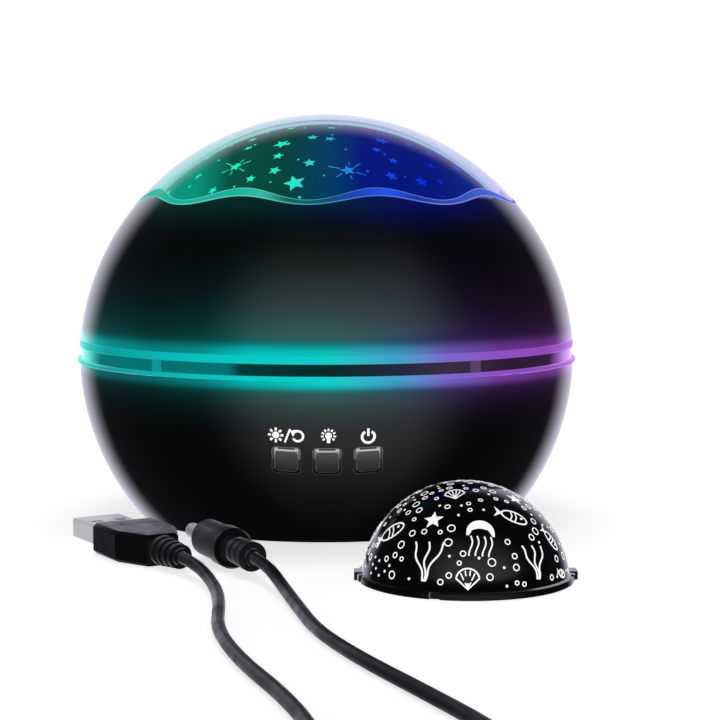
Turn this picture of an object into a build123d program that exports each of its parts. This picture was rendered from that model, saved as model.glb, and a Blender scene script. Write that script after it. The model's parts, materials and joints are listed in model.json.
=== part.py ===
from build123d import *
import math
import os

# Star-projector night lamp: a glossy ball on a flat base, with a glowing ring at its
# waist, a clear wavy-edged cap over a turning star dome, a spare dome and a power lead.
# Millimetres, +Z up, the floor is z = 0, the ball's axis is Z, the buttons face -Y.

# ---- driving dimensions ----------------------------------------------------------
BALL_R = 62.5            # radius of the ball under its waist
BALL_UPPER_R = 62.3      # radius above the waist ring
TOP_Z = 101.6            # the ball is slightly flattened: 125 wide and 101.6 high
BASE_R = 47.5            # flat cut under the ball
BASE_Z = 0.8             # height of that cut, held off the floor by the pad
SHELL_WALL = 2.4
COVER_WALL = 2.0

RING_LOW_Z = 39.7        # waist ring: lower lip, window and upper lip
WINDOW_LOW_Z = 40.7
WINDOW_HIGH_Z = 43.4
RING_HIGH_Z = 45.3
LOW_LIP_PROUD = 0.5
RING_INNER_R = 57.8
RING_RIBS = 5
RING_RIB_WIDTH = 2.8
RING_RIB_AZIMUTH = -39.0

WAVES = 9                # crests round the edge between black cover and clear cap
WAVE_Z = 79.8
WAVE_HEIGHT = 1.0
WAVE_CREST_AZIMUTH = 14.8
CAP_WALL = 2.4           # at the wave; the cap is thinner at its crown
CAP_CROWN_WALL = 1.8
SPIGOT_HIGH_Z = 81.6     # top of the cap's lip inside the cover

DECK_LOW_Z = 36.3        # inner deck, the plate that carries the works
DECK_THICK = 2.0
DECK_R = 57.5
COLLAR_R = 11.0
COLLAR_BORE_R = 8.5
COLLAR_TOP_Z = 50.4
THRUST_Z = 41.6
WASHER_THICK = 0.4

PLATE_LOW_Z = 48.2       # turntable plate
PLATE_HIGH_Z = 50.0
PLATE_R = 57.4
RUNNING_GAP = 0.06

GEAR_MODULE = 1.0
PINION_TEETH = 12
WHEEL_TEETH = 48
GEAR_LOW_Z = 42.2
GEAR_HIGH_Z = 45.5
GEAR_BACKLASH = 0.3
PINION_ADDENDUM = 1.0
WHEEL_ADDENDUM = 0.7     # short, so the wheel's tips clear the pinion's roots
DEDENDUM = 1.25
PRESSURE_ANGLE = 20.0
MOTOR_AZIMUTH = 135.0    # round the axis from the front, -Y, towards +X

DOME_INSET = 4.3         # star dome, inside the ball's skin at its foot
DOME_TOP_Z = 98.9        # and close under the cap at its crown
DOME_WALL = 1.2
DOME_DOGS = 3

BUTTON_Z = 21.3
BUTTON_PITCH = 9.2
BUTTON_SIDE = 5.4
WINDOW_SIDE = 6.15
BUTTON_PROUD = 0.35

JACK_Z = 14.0
JACK_FACE_Y = 50.5
JACK_RECESS_Y = 53.0

SCREW_SHANK_R = 1.25
SCREW_HEAD_R = 2.5
SCREW_HEAD_H = 1.5
BASE_SCREW_CIRCLE = 40.5
DECK_SCREW_CIRCLE = 53.0
SCREW_AZIMUTHS = (45, 135, 225, 315)

OCEAN_X, OCEAN_Y = 29.2, -85.0    # spare dome, resting on the floor beside the lamp
OCEAN_R = 22.1
OCEAN_H = 20.7
OCEAN_WALL = 1.0
OCEAN_FLANGE_R = 23.0
OCEAN_FLANGE_H = 1.4

CORD_R = 1.3
USB_TIP = (-54.3, -38.8)
USB_HEADING = 30.0       # turn of the plug's axis, tip to tail, from -Y towards +X
USB_MID_Z = 3.5
DC_TIP = (-31.0, -51.4)
DC_HEADING = 25.0
DC_MID_Z = 4.5
DC_BARREL_R = 1.75
DC_BARREL_LENGTH = 9.5
COIL_X, COIL_Y = 14.0, -246.0
COIL_MEAN_R = 14.5
COIL_COLUMNS = 2
COIL_LAYERS = 4
MIN_TRIM = 0.45          # share of the shorter run that a corner's arc takes

os.makedirs("parts", exist_ok=True)


# ---- helpers ---------------------------------------------------------------------
def at_azimuth(radius, azimuth, z=0.0):
    """A place round the axis: azimuth 0 is the front, -Y, and 90 is +X."""
    turn = math.radians(azimuth)
    return (radius * math.sin(turn), -radius * math.cos(turn), z)


def ball_through(radius_1, z_1, radius_2, z_2):
    """Centre height and radius of the ball on the axis that passes two such places."""
    centre = (radius_1**2 - radius_2**2 + z_1**2 - z_2**2) / (2 * (z_1 - z_2))
    return centre, math.hypot(radius_1, z_1 - centre)


LOWER_BALL = ball_through(BALL_R, RING_LOW_Z, BASE_R, BASE_Z)
UPPER_BALL = ball_through(BALL_UPPER_R, RING_HIGH_Z, 0, TOP_Z)


def ball_radius(z, inset=0.0):
    """Radius at height z of the skin that lies inset inside the ball's outer one."""
    centre, radius = LOWER_BALL if z < WINDOW_LOW_Z else UPPER_BALL
    return math.sqrt((radius - inset) ** 2 - (z - centre) ** 2)


DOME_BALL = ball_through(ball_radius(PLATE_HIGH_Z, DOME_INSET), PLATE_HIGH_Z, 0, DOME_TOP_Z)
CAP_INNER_BALL = ball_through(
    ball_radius(WAVE_Z, CAP_WALL), WAVE_Z, 0, TOP_Z - CAP_CROWN_WALL
)


def inside_by(which, inset):
    """The ball that lies inset inside another."""
    centre, radius = which
    return centre, radius - inset


def skin_arc(which, z_low, z_high):
    """The half profile of a ball between two heights. None closes it at the top."""
    centre, radius = which
    low = math.degrees(math.asin((z_low - centre) / radius))
    high = 90 if z_high is None else math.degrees(math.asin((z_high - centre) / radius))
    return CenterArc((0, centre), radius, low, high - low)


def turned(profile):
    """Turns a profile of radius and height about the vertical axis."""
    return revolve(Plane.XZ * profile, Axis.Z)


def turned_outline(*points):
    return turned(make_face(Polyline(*points, close=True)))


def bowl(outer_ball, inner_ball, z_low, z_high, cones=0):
    """A wall between two balls. Hidden inner faces may be a few cones, not a ball."""
    outer = skin_arc(outer_ball, z_low, z_high)
    inner = skin_arc(inner_ball, z_low, z_high)
    ends = [Line(outer @ 0, inner @ 0), Line(outer @ 1, inner @ 1)]
    if cones:
        inner = as_cones(inner, cones)
    return turned(make_face([outer, inner] + ends))


def as_cones(arc, cones):
    """The chords of an arc, which turn into a few cones."""
    return Polyline(*[arc @ (step / cones) for step in range(cones + 1)])


def ball(which):
    """The whole space inside a ball."""
    centre, radius = which
    return Pos(0, 0, centre) * Sphere(radius)


def tube_ring(outer_r, inner_r, z_low, z_high):
    return turned_outline(
        (inner_r, z_low), (outer_r, z_low), (outer_r, z_high), (inner_r, z_high)
    )


def column(radius, z_low, z_high, place=(0, 0)):
    """An upright cylinder between two heights."""
    solid = Cylinder(radius, z_high - z_low, align=(Align.CENTER, Align.CENTER, Align.MIN))
    return Pos(place[0], place[1], z_low) * solid


def slab(length, width, thick, corner):
    """A flat rounded plate, from its own z = 0 up."""
    return extrude(RectangleRounded(length, width, corner), thick)


def spoke(radius_in, radius_out, width, z_low, z_high, azimuth):
    """An upright rib along a radius."""
    block = Box(
        width,
        radius_out - radius_in,
        z_high - z_low,
        align=(Align.CENTER, Align.MAX, Align.MIN),
    )
    return Rot(0, 0, azimuth) * Pos(0, -radius_in, z_low) * block


def wavy_cutter():
    """A conical sheet through the wall, with the wave of the cover's edge."""
    turns = [360.0 * step / (8 * WAVES) for step in range(8 * WAVES)]
    edges = []
    for scale in (0.55, 1.35):
        points = []
        for azimuth in turns:
            phase = math.radians(WAVES * (azimuth - WAVE_CREST_AZIMUTH))
            z = WAVE_Z + WAVE_HEIGHT * math.cos(phase)
            centre = UPPER_BALL[0]
            x, y, rise = at_azimuth(ball_radius(z), azimuth, z - centre)
            points.append(Vector(x * scale, y * scale, rise * scale + centre))
        edges.append(Edge.make_spline(points, periodic=True))
    return Face.make_surface_from_curves(*edges)


def cut_at_wave(wall, upper):
    """The part of a wall above or below the wave."""
    pieces = wall.solid().split(wavy_cutter(), keep=Keep.ALL)
    by_height = sorted(pieces, key=lambda piece: piece.center().Z)
    return by_height[-1] if upper else by_height[0]


def screw(length, place, z_under_head, up=False):
    """A pan-head screw with a cross recess. It points down, or up when told."""
    shank = column(SCREW_SHANK_R, -length, 0)
    head = chamfer(
        column(SCREW_HEAD_R, 0, SCREW_HEAD_H).edges().group_by(Axis.Z)[-1], 0.5
    )
    slot = Pos(0, 0, SCREW_HEAD_H) * Box(2.6, 0.5, 1.2)
    body = shank + head - slot - Rot(0, 0, 90) * slot
    turn = Rot(180, 0, 0) if up else Rot(0, 0, 0)
    return Pos(place[0], place[1], z_under_head) * turn * body


def save(name, shape):
    export_step(shape, f"parts/{name}.step")


def save_group(name, shapes):
    """Separate equal solids that share one node."""
    solids = [solid for shape in shapes for solid in shape.solids()]
    export_step(Compound(children=solids), f"parts/{name}.step")


# ---- the button panel's own frame: X along the row, Z out of the ball --------------
BUTTON_Y = -ball_radius(BUTTON_Z)
PANEL_TILT = math.atan2(LOWER_BALL[0] - BUTTON_Z, ball_radius(BUTTON_Z))
PANEL = Plane(
    origin=(0, BUTTON_Y, BUTTON_Z),
    x_dir=(1, 0, 0),
    z_dir=(0, -math.cos(PANEL_TILT), -math.sin(PANEL_TILT)),
)
FLANGE_FRONT = -4.2      # depths along PANEL's Z, below the skin
FLANGE_BACK = -4.9
STEM_BACK = -5.6
SWITCH_FRONT = -6.9
PLUNGER_BACK = -8.0
BOARD_FRONT = -10.4
BOARD_THICK = 1.6
BOARD_LENGTH, BOARD_HEIGHT = 31.0, 21.0
BOARD_POSTS = [(x, y) for x in (-12.6, 12.6) for y in (-7.6, 7.6)]
BUTTONS = {"rotate": -BUTTON_PITCH, "lamp": 0.0, "power": BUTTON_PITCH}


# ---- base ------------------------------------------------------------------------
def lower_shell():
    inside = ball(inside_by(LOWER_BALL, SHELL_WALL / 2))
    shell = bowl(LOWER_BALL, inside_by(LOWER_BALL, SHELL_WALL), BASE_Z, RING_LOW_Z, cones=5)
    fittings = []
    for azimuth in SCREW_AZIMUTHS:
        x, y, _ = at_azimuth(BASE_SCREW_CIRCLE, azimuth)
        fittings.append(column(3.0, BASE_Z + 2.0, 12.0, (x, y)))
        web = spoke(BASE_SCREW_CIRCLE, 58, 1.6, BASE_Z + 2.6, 10.0, azimuth)
        fittings.append(web)
        x, y, _ = at_azimuth(DECK_SCREW_CIRCLE, azimuth)
        fittings.append(column(3.2, 24.0, DECK_LOW_Z, (x, y)))
        fittings.append(spoke(DECK_SCREW_CIRCLE, 61, 1.6, 24.0, DECK_LOW_Z, azimuth))
    for x, y in BOARD_POSTS:
        post = Cylinder(2.0, -BOARD_FRONT, align=(Align.CENTER, Align.CENTER, Align.MAX))
        fittings.append(PANEL * Pos(x, y, 0) * post)
    jack_boss = Cylinder(7.0, 12, align=(Align.CENTER, Align.CENTER, Align.MIN))
    fittings.append(Pos(0, JACK_FACE_Y, JACK_Z) * Rot(-90, 0, 0) * jack_boss)
    for fitting in fittings:
        shell += fitting & inside
    for azimuth in SCREW_AZIMUTHS:
        x, y, _ = at_azimuth(BASE_SCREW_CIRCLE, azimuth)
        shell -= column(SCREW_SHANK_R + 0.05, BASE_Z, 11.0, (x, y))
        x, y, _ = at_azimuth(DECK_SCREW_CIRCLE, azimuth)
        shell -= column(SCREW_SHANK_R + 0.05, 27.0, DECK_LOW_Z + 1, (x, y))
    for x, y in BOARD_POSTS:
        pilot = Cylinder(0.95, 6, align=(Align.CENTER, Align.CENTER, Align.MIN))
        shell -= PANEL * Pos(x, y, BOARD_FRONT) * pilot
    for x in BUTTONS.values():
        window = slab(WINDOW_SIDE, WINDOW_SIDE, 9, 0.9)
        shell -= PANEL * Pos(x, 0, -6) * window
    recess = Cylinder(5.0, 12, align=(Align.CENTER, Align.CENTER, Align.MIN))
    shell -= Pos(0, JACK_RECESS_Y, JACK_Z) * Rot(-90, 0, 0) * recess
    shell -= Pos(0, JACK_RECESS_Y, JACK_Z) * Rot(-90, 0, 0) * Cylinder(2.1, 12)
    return shell


def base_plate():
    radius = ball_radius(BASE_Z, SHELL_WALL) - 0.25
    plate = turned_outline(
        (0, BASE_Z + 0.4), (36.3, BASE_Z + 0.4), (36.3, BASE_Z), (radius, BASE_Z),
        (radius, BASE_Z + 2.0), (34.0, BASE_Z + 2.0), (34.0, BASE_Z + 4.0),
        (32.6, BASE_Z + 4.0), (32.6, BASE_Z + 2.0), (0, BASE_Z + 2.0),
    )
    for azimuth in SCREW_AZIMUTHS:
        x, y, _ = at_azimuth(BASE_SCREW_CIRCLE, azimuth)
        plate -= column(1.5, 0, 4, (x, y))
        plate -= column(2.8, 0, BASE_Z + 1.0, (x, y))
    return plate


def non_slip_pad():
    pad = column(36.0, 0, BASE_Z + 0.4)
    return chamfer(pad.edges().group_by(Axis.Z)[0], 0.3)


def base_screws():
    places = [at_azimuth(BASE_SCREW_CIRCLE, azimuth)[:2] for azimuth in SCREW_AZIMUTHS]
    return [screw(8.0, place, BASE_Z + 1.0, up=True) for place in places]


# ---- waist ring and its lights ------------------------------------------------------
def light_ring():
    lip_r = BALL_R + LOW_LIP_PROUD
    ring = turned_outline(
        (RING_INNER_R, 37.9), (59.8, 37.9), (59.8, RING_LOW_Z), (lip_r - 0.3, RING_LOW_Z),
        (lip_r, RING_LOW_Z + 0.3), (lip_r, WINDOW_LOW_Z), (62.0, WINDOW_LOW_Z),
        (62.0, WINDOW_HIGH_Z), (ball_radius(WINDOW_HIGH_Z), WINDOW_HIGH_Z),
        (ball_radius(RING_HIGH_Z), RING_HIGH_Z), (59.6, RING_HIGH_Z), (59.6, 47.3),
        (RING_INNER_R, 47.3), (RING_INNER_R, WINDOW_HIGH_Z), (60.2, WINDOW_HIGH_Z),
        (60.2, WINDOW_LOW_Z), (RING_INNER_R, WINDOW_LOW_Z),
    )
    for index in range(RING_RIBS):
        azimuth = RING_RIB_AZIMUTH + index * 360 / RING_RIBS
        ring += spoke(
            RING_INNER_R + 0.2, 61.0, RING_RIB_WIDTH, WINDOW_LOW_Z - 0.5,
            WINDOW_HIGH_Z + 0.5, azimuth,
        )
    ear_low = DECK_LOW_Z + DECK_THICK
    for azimuth in SCREW_AZIMUTHS:
        ring += spoke(50.0, 58.8, 7.0, ear_low, RING_LOW_Z, azimuth)
    for azimuth in SCREW_AZIMUTHS:
        x, y, _ = at_azimuth(DECK_SCREW_CIRCLE, azimuth)
        ring -= column(1.6, 30, 42, (x, y))
    return ring


RING_BOARD_Z = 39.3
RING_BOARD_THICK = 1.2
RING_LEDS = 15


def ring_led_board():
    return tube_ring(49.4, 43.0, RING_BOARD_Z, RING_BOARD_Z + RING_BOARD_THICK)


def ring_leds():
    top = RING_BOARD_Z + RING_BOARD_THICK
    lamps = []
    for index in range(RING_LEDS):
        lamp = spoke(47.6, 49.2, 3.6, top, top + 2.0, index * 360 / RING_LEDS)
        lamps.append(lamp)
    return lamps


# ---- inner deck ---------------------------------------------------------------------
MOTOR_X, MOTOR_Y, _ = at_azimuth(
    GEAR_MODULE * (PINION_TEETH + WHEEL_TEETH) / 2, MOTOR_AZIMUTH
)
MOTOR_EAR = 15.0          # from the shaft to a mounting screw
MOTOR_TAIL_Z = 14.5       # lower end of the motor's can


def motor_ear_places():
    """The two screw places beside the motor, across the line to the axis."""
    across = math.radians(MOTOR_AZIMUTH + 90)
    step_x, step_y = MOTOR_EAR * math.sin(across), -MOTOR_EAR * math.cos(across)
    return [(MOTOR_X + side * step_x, MOTOR_Y + side * step_y) for side in (-1, 1)]


def inner_deck():
    top = DECK_LOW_Z + DECK_THICK
    deck = column(DECK_R, DECK_LOW_Z, top)
    deck += column(13.8, top, THRUST_Z)
    deck += column(COLLAR_R, THRUST_Z, COLLAR_TOP_Z)
    deck -= column(COLLAR_BORE_R, DECK_LOW_Z - 1, COLLAR_TOP_Z + 1)
    for azimuth in (0, 22.5, 247.5, 270, 292.5, 337.5):
        deck += spoke(10.5, 48.0, 1.4, DECK_LOW_Z - 3.0, DECK_LOW_Z, azimuth)
    for azimuth in (0, 90, 180, 270):
        x, y, _ = at_azimuth(45.5, azimuth)
        deck += column(1.6, top, RING_BOARD_Z, (x, y))
    for azimuth in SCREW_AZIMUTHS:
        x, y, _ = at_azimuth(DECK_SCREW_CIRCLE, azimuth)
        deck -= column(1.6, 30, 42, (x, y))
    deck -= column(3.6, 30, 42, (MOTOR_X, MOTOR_Y))
    for place in motor_ear_places():
        deck -= column(SCREW_SHANK_R + 0.05, 30, 42, place)
    wire_slot = Pos(-30, 0, DECK_LOW_Z - 1) * slab(5, 12, 4, 2.0)
    return deck - wire_slot


def thrust_washer():
    return tube_ring(13.4, COLLAR_R + 0.15, THRUST_Z, THRUST_Z + WASHER_THICK)


def deck_screws():
    places = [at_azimuth(DECK_SCREW_CIRCLE, azimuth)[:2] for azimuth in SCREW_AZIMUTHS]
    return [screw(11.0, place, RING_LOW_Z) for place in places]


# ---- gears and turntable --------------------------------------------------------------
def involute(angle):
    return math.tan(angle) - angle


def gear(teeth, addendum, tooth_azimuth, z_low, z_high):
    """A spur gear with one tooth centred at an azimuth. Flanks follow the involute."""
    pitch_r = GEAR_MODULE * teeth / 2
    base_r = pitch_r * math.cos(math.radians(PRESSURE_ANGLE))
    root_r = pitch_r - DEDENDUM * GEAR_MODULE
    tip_r = pitch_r + addendum * GEAR_MODULE
    thickness = math.pi * GEAR_MODULE / 2 - GEAR_BACKLASH / 2
    at_pitch = thickness / (2 * pitch_r) + involute(math.radians(PRESSURE_ANGLE))
    start_r = max(base_r, root_r)

    def flank_point(radius, side):
        half = at_pitch - involute(math.acos(min(1.0, base_r / radius)))
        return (radius * math.cos(half), side * radius * math.sin(half))

    radii = [start_r + (tip_r - start_r) * share for share in (0, 0.3, 0.65, 1)]
    step = 2 * math.pi / teeth
    foot = at_pitch - involute(math.acos(min(1.0, base_r / start_r)))
    root_low = (root_r * math.cos(foot), root_r * math.sin(foot))
    next_foot = step - foot
    root_next = (root_r * math.cos(next_foot), root_r * math.sin(next_foot))
    root_mid = (root_r * math.cos(step / 2), root_r * math.sin(step / 2))
    tooth = [
        Spline(*[flank_point(radius, -1) for radius in radii]),
        ThreePointArc(flank_point(tip_r, -1), (tip_r, 0), flank_point(tip_r, 1)),
        Spline(*[flank_point(radius, 1) for radius in radii]),
        ThreePointArc(root_low, root_mid, root_next),
    ]
    if start_r > root_r:
        tooth.append(Line(flank_point(start_r, 1), root_low))
        tooth.append(Line(flank_point(start_r, -1), (root_low[0], -root_low[1])))
    outline = []
    for index in range(teeth):
        outline += [edge.rotate(Axis.Z, index * 360 / teeth) for edge in tooth]
    turn = Rot(0, 0, tooth_azimuth - 90)
    return Pos(0, 0, z_low) * turn * extrude(make_face(outline), z_high - z_low)


def turntable():
    hub_bore = COLLAR_R + RUNNING_GAP
    hub_low = THRUST_Z + WASHER_THICK + 0.05
    table = column(PLATE_R, PLATE_LOW_Z, PLATE_HIGH_Z)
    table += column(14.4, hub_low, PLATE_LOW_Z)
    table += gear(WHEEL_TEETH, WHEEL_ADDENDUM, MOTOR_AZIMUTH, GEAR_LOW_Z, GEAR_HIGH_Z)
    for index in range(6):
        azimuth = index * 60
        table += spoke(13.5, 54.0, 1.4, PLATE_LOW_Z - 2.0, PLATE_LOW_Z, azimuth)
    table += tube_ring(55.2, 53.6, PLATE_HIGH_Z, PLATE_HIGH_Z + 2.2)
    table += tube_ring(20.8, 19.4, PLATE_HIGH_Z, PLATE_HIGH_Z + 1.6)
    for index in range(DOME_DOGS):
        notch = spoke(50, 56, 5.6, PLATE_HIGH_Z, PLATE_HIGH_Z + 3, dog_azimuth(index))
        table -= notch
    table -= column(hub_bore, 38, 56)
    return table


def dog_azimuth(index):
    return 30 + index * 360 / DOME_DOGS


def pinion_tooth_azimuth():
    """A gap of the pinion, not a tooth, faces the wheel."""
    return MOTOR_AZIMUTH + 180 + 180 / PINION_TEETH


def shaft_section(radius, z_low, z_high):
    """A round shaft with a flat on one side."""
    flat = Pos(0, 1.1 * radius / 1.5 + 5, (z_low + z_high) / 2) * Box(10, 10, 40)
    return column(radius, z_low, z_high) - flat


def motor_shaft():
    upper = shaft_section(1.5, 38.9, 45.9)
    return Pos(MOTOR_X, MOTOR_Y, 0) * (column(1.5, 34.2, 38.9) + upper)


def drive_pinion():
    pinion = gear(
        PINION_TEETH, PINION_ADDENDUM, pinion_tooth_azimuth(), GEAR_LOW_Z, GEAR_HIGH_Z
    )
    pinion += column(3.4, 39.2, GEAR_LOW_Z)
    pinion -= shaft_section(1.52, 39.0, 46.0)
    return Pos(MOTOR_X, MOTOR_Y, 0) * pinion


def gear_motor():
    gearbox = chamfer(column(11.0, 28.3, DECK_LOW_Z).edges().group_by(Axis.Z)[0], 0.8)
    can = chamfer(column(7.8, MOTOR_TAIL_Z, 28.3).edges().group_by(Axis.Z)[0], 1.0)
    motor = gearbox + can
    motor += column(3.2, MOTOR_TAIL_Z - 1.2, MOTOR_TAIL_Z)
    motor += column(3.0, DECK_LOW_Z, 38.6)
    ear_bar = slab(2 * MOTOR_EAR + 7, 7, 1.2, 3.4)
    across = Rot(0, 0, MOTOR_AZIMUTH)
    motor += Pos(0, 0, DECK_LOW_Z - 1.2) * across * ear_bar
    for side in (-1, 1):
        terminal = slab(0.6, 2.0, 3.0, 0.2)
        motor += Pos(side * 5.0, 0, MOTOR_TAIL_Z - 2.6) * terminal
    motor -= column(1.5 + RUNNING_GAP, 34.0, 40.0)
    motor = Pos(MOTOR_X, MOTOR_Y, 0) * motor
    for place in motor_ear_places():
        motor -= column(1.5, 30, 40, place)
    return motor


def motor_screws():
    return [screw(3.0, place, DECK_LOW_Z - 1.2, up=True) for place in motor_ear_places()]


# ---- lamp at the centre -----------------------------------------------------------------
LAMP_TOP_Z = 57.5


def lamp_holder():
    holder = turned_outline(
        (5.0, 44.0), (COLLAR_BORE_R - 0.1, 44.0), (COLLAR_BORE_R - 0.1, COLLAR_TOP_Z),
        (12.6, COLLAR_TOP_Z), (12.6, COLLAR_TOP_Z + 1.0), (9.0, COLLAR_TOP_Z + 1.6),
        (6.6, 55.0), (9.4, 56.4), (9.4, LAMP_TOP_Z), (5.0, LAMP_TOP_Z),
    )
    for side in (-1, 1):
        holder -= column(0.95, 53.5, 60, (side * 7.2, 0))
    return holder


def lamp_board():
    board = column(9.2, LAMP_TOP_Z, LAMP_TOP_Z + 1.2)
    for side in (-1, 1):
        board -= column(1.1, 55, 60, (side * 7.2, 0))
    return board


def lamp_led():
    return Pos(0, 0, LAMP_TOP_Z + 1.2) * slab(5.0, 5.0, 0.9, 0.5)


def lamp_lens():
    low = LAMP_TOP_Z + 1.2
    dome = CenterArc((0, low + 1.4), 4.4, 0, 90)
    hollow = as_cones(CenterArc((0, low + 1.0), 3.7, 0, 90), 4)
    lens = make_face([
        Line((3.7, low + 1.0), (3.7, low)), Line((3.7, low), (4.4, low)),
        Line((4.4, low), (4.4, low + 1.4)), dome, hollow,
        Line((0, low + 4.7), (0, low + 5.8)),
    ])
    return turned(lens)


def lamp_screws():
    tops = [(side * 7.2, 0) for side in (-1, 1)]
    small = []
    for x, y in tops:
        head = chamfer(column(1.7, 0, 1.0).edges().group_by(Axis.Z)[-1], 0.4)
        body = column(0.9, -4.5, 0) + head - Pos(0, 0, 1.0) * Box(1.8, 0.4, 0.8)
        small.append(Pos(x, y, LAMP_TOP_Z + 1.2) * body)
    return small


# ---- star dome, cover and cap -----------------------------------------------------------
def star_dome():
    dome = bowl(DOME_BALL, inside_by(DOME_BALL, DOME_WALL), PLATE_HIGH_Z, None, cones=8)
    inside = ball(inside_by(DOME_BALL, DOME_WALL / 2))
    for index in range(DOME_DOGS):
        dog = spoke(53.0, 57.0, 5.0, PLATE_HIGH_Z, PLATE_HIGH_Z + 2.4, dog_azimuth(index))
        dome += dog & inside
    return dome


def upper_shell():
    inner = inside_by(UPPER_BALL, COVER_WALL)
    return cut_at_wave(bowl(UPPER_BALL, inner, RING_HIGH_Z, 90, cones=5), upper=False)


def clear_cap():
    cap = cut_at_wave(bowl(UPPER_BALL, CAP_INNER_BALL, 72, None, cones=8), upper=True)
    outer, inner = (inside_by(UPPER_BALL, COVER_WALL + gap) for gap in (0.3, 1.0))
    spigot = bowl(outer, inner, 76.0, SPIGOT_HIGH_Z)
    return cap + spigot


# ---- buttons and control board ------------------------------------------------------------
def button(x):
    cap = PANEL * Pos(x, 0, FLANGE_BACK) * slab(BUTTON_SIDE, BUTTON_SIDE, 9, 0.8)
    cap &= ball(inside_by(LOWER_BALL, -BUTTON_PROUD))
    flange = PANEL * Pos(x, 0, FLANGE_BACK) * slab(
        6.9, 6.9, FLANGE_FRONT - FLANGE_BACK, 0.9
    )
    stem = PANEL * Pos(x, 0, STEM_BACK) * Cylinder(
        1.2, FLANGE_BACK - STEM_BACK, align=(Align.CENTER, Align.CENTER, Align.MIN)
    )
    return cap + flange + stem


def switch_plunger(x):
    plunger = Cylinder(
        1.5, STEM_BACK - PLUNGER_BACK, align=(Align.CENTER, Align.CENTER, Align.MIN)
    )
    return PANEL * Pos(x, 0, PLUNGER_BACK) * plunger


def tact_switches():
    cases = []
    for x in BUTTONS.values():
        case = slab(6.0, 6.0, SWITCH_FRONT - BOARD_FRONT, 0.5)
        well = Cylinder(1.8, 2.4, align=(Align.CENTER, Align.CENTER, Align.MAX))
        case -= Pos(0, 0, SWITCH_FRONT - BOARD_FRONT) * well
        cases.append(PANEL * Pos(x, 0, BOARD_FRONT) * case)
    return cases


def control_board():
    board = slab(BOARD_LENGTH, BOARD_HEIGHT, BOARD_THICK, 1.5)
    board = PANEL * Pos(0, 0, BOARD_FRONT - BOARD_THICK) * board
    for x, y in BOARD_POSTS:
        board -= PANEL * Pos(x, y, BOARD_FRONT) * Cylinder(1.2, 6)
    return board


def control_chip():
    chip = Pos(0, 1.0, BOARD_FRONT - BOARD_THICK - 1.5) * slab(8.6, 3.9, 1.5, 0.3)
    return PANEL * chip


def wire_headers():
    headers = []
    for x in (-7.0, 0.0, 7.0):
        block = slab(5.0, 3.4, 4.0, 0.3) - Pos(0, 0, -1) * slab(4.0, 2.4, 4.0, 0.2)
        headers.append(PANEL * Pos(x, -6.6, BOARD_FRONT - BOARD_THICK - 4.0) * block)
    return headers


def board_screws():
    small = []
    for x, y in BOARD_POSTS:
        head = chamfer(column(1.8, 0, 1.1).edges().group_by(Axis.Z)[-1], 0.4)
        body = column(0.9, -5.0, 0) + head - Pos(0, 0, 1.1) * Box(2.0, 0.4, 0.8)
        place = PANEL * Pos(x, y, BOARD_FRONT - BOARD_THICK) * Rot(180, 0, 0)
        small.append(place * body)
    return small


def dc_jack():
    jack = Box(9.0, 10.5, 9.5, align=(Align.CENTER, Align.MAX, Align.CENTER))
    jack = fillet(jack.edges().filter_by(Axis.Y), 0.8)
    bore = Cylinder(1.95, 7.5, align=(Align.CENTER, Align.CENTER, Align.MIN))
    pin = Cylinder(0.6, 6.5, align=(Align.CENTER, Align.CENTER, Align.MIN))
    jack -= Rot(90, 0, 0) * bore
    jack += Pos(0, -1.0, 0) * Rot(90, 0, 0) * pin
    for x in (-2.6, 2.6):
        jack += Pos(x, -10.4, -1.5) * Box(
            1.6, 3.0, 0.4, align=(Align.CENTER, Align.MAX, Align.CENTER)
        )
    return Pos(0, JACK_FACE_Y, JACK_Z) * jack


# ---- spare dome -----------------------------------------------------------------------------
def ocean_dome():
    skin = ball_through(OCEAN_R, 0, 0, OCEAN_H)
    dome = bowl(skin, inside_by(skin, OCEAN_WALL), 0, None, cones=8)
    flange = tube_ring(OCEAN_FLANGE_R, OCEAN_R - 0.5, 0, OCEAN_FLANGE_H)
    for azimuth in (-78, -20, 78, 160):
        flange -= spoke(OCEAN_R + 0.05, 30, 2.2, -1, 3, azimuth)
    ears = []
    for azimuth in (-90, 90):
        ears.append(spoke(OCEAN_R - 0.5, OCEAN_FLANGE_R + 0.6, 4.0, 0, 1.8, azimuth))
    dome = dome + flange + ears[0] + ears[1]
    return Pos(OCEAN_X, OCEAN_Y, 0) * dome


# ---- power lead -------------------------------------------------------------------------------
def heading(angle):
    turn = math.radians(angle)
    return (math.sin(turn), -math.cos(turn))


def along(start, angle, distance, z):
    """A place at a distance from a plug's tip along its axis."""
    step_x, step_y = heading(angle)
    return (start[0] + distance * step_x, start[1] + distance * step_y, z)


def plug_frame(tip, angle, z):
    """Local X runs from the plug's tip to its tail, local Z is up."""
    return Plane(origin=(*tip, z), x_dir=(*heading(angle), 0), z_dir=(0, 0, 1))


USB_FRAME = plug_frame(USB_TIP, USB_HEADING, USB_MID_Z)
USB_SHELL_LENGTH, USB_SHELL_WIDTH, USB_SHELL_HEIGHT = 14.8, 12.0, 4.5
USB_SHELL_WALL = 0.35
USB_GRIP_LENGTH, USB_TAPER_LENGTH = 13.0, 9.0
USB_GRIP_WIDTH, USB_GRIP_HEIGHT = 15.0, 7.0
USB_TAIL_WIDTH = 7.4
USB_RELIEF_LENGTH = 9.7
DC_FRAME = plug_frame(DC_TIP, DC_HEADING, DC_MID_Z)
DC_GRIP_LENGTH = 18.0
DC_RELIEF_LENGTH = 9.6
X_MIN = (Align.MIN, Align.CENTER, Align.CENTER)


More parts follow.
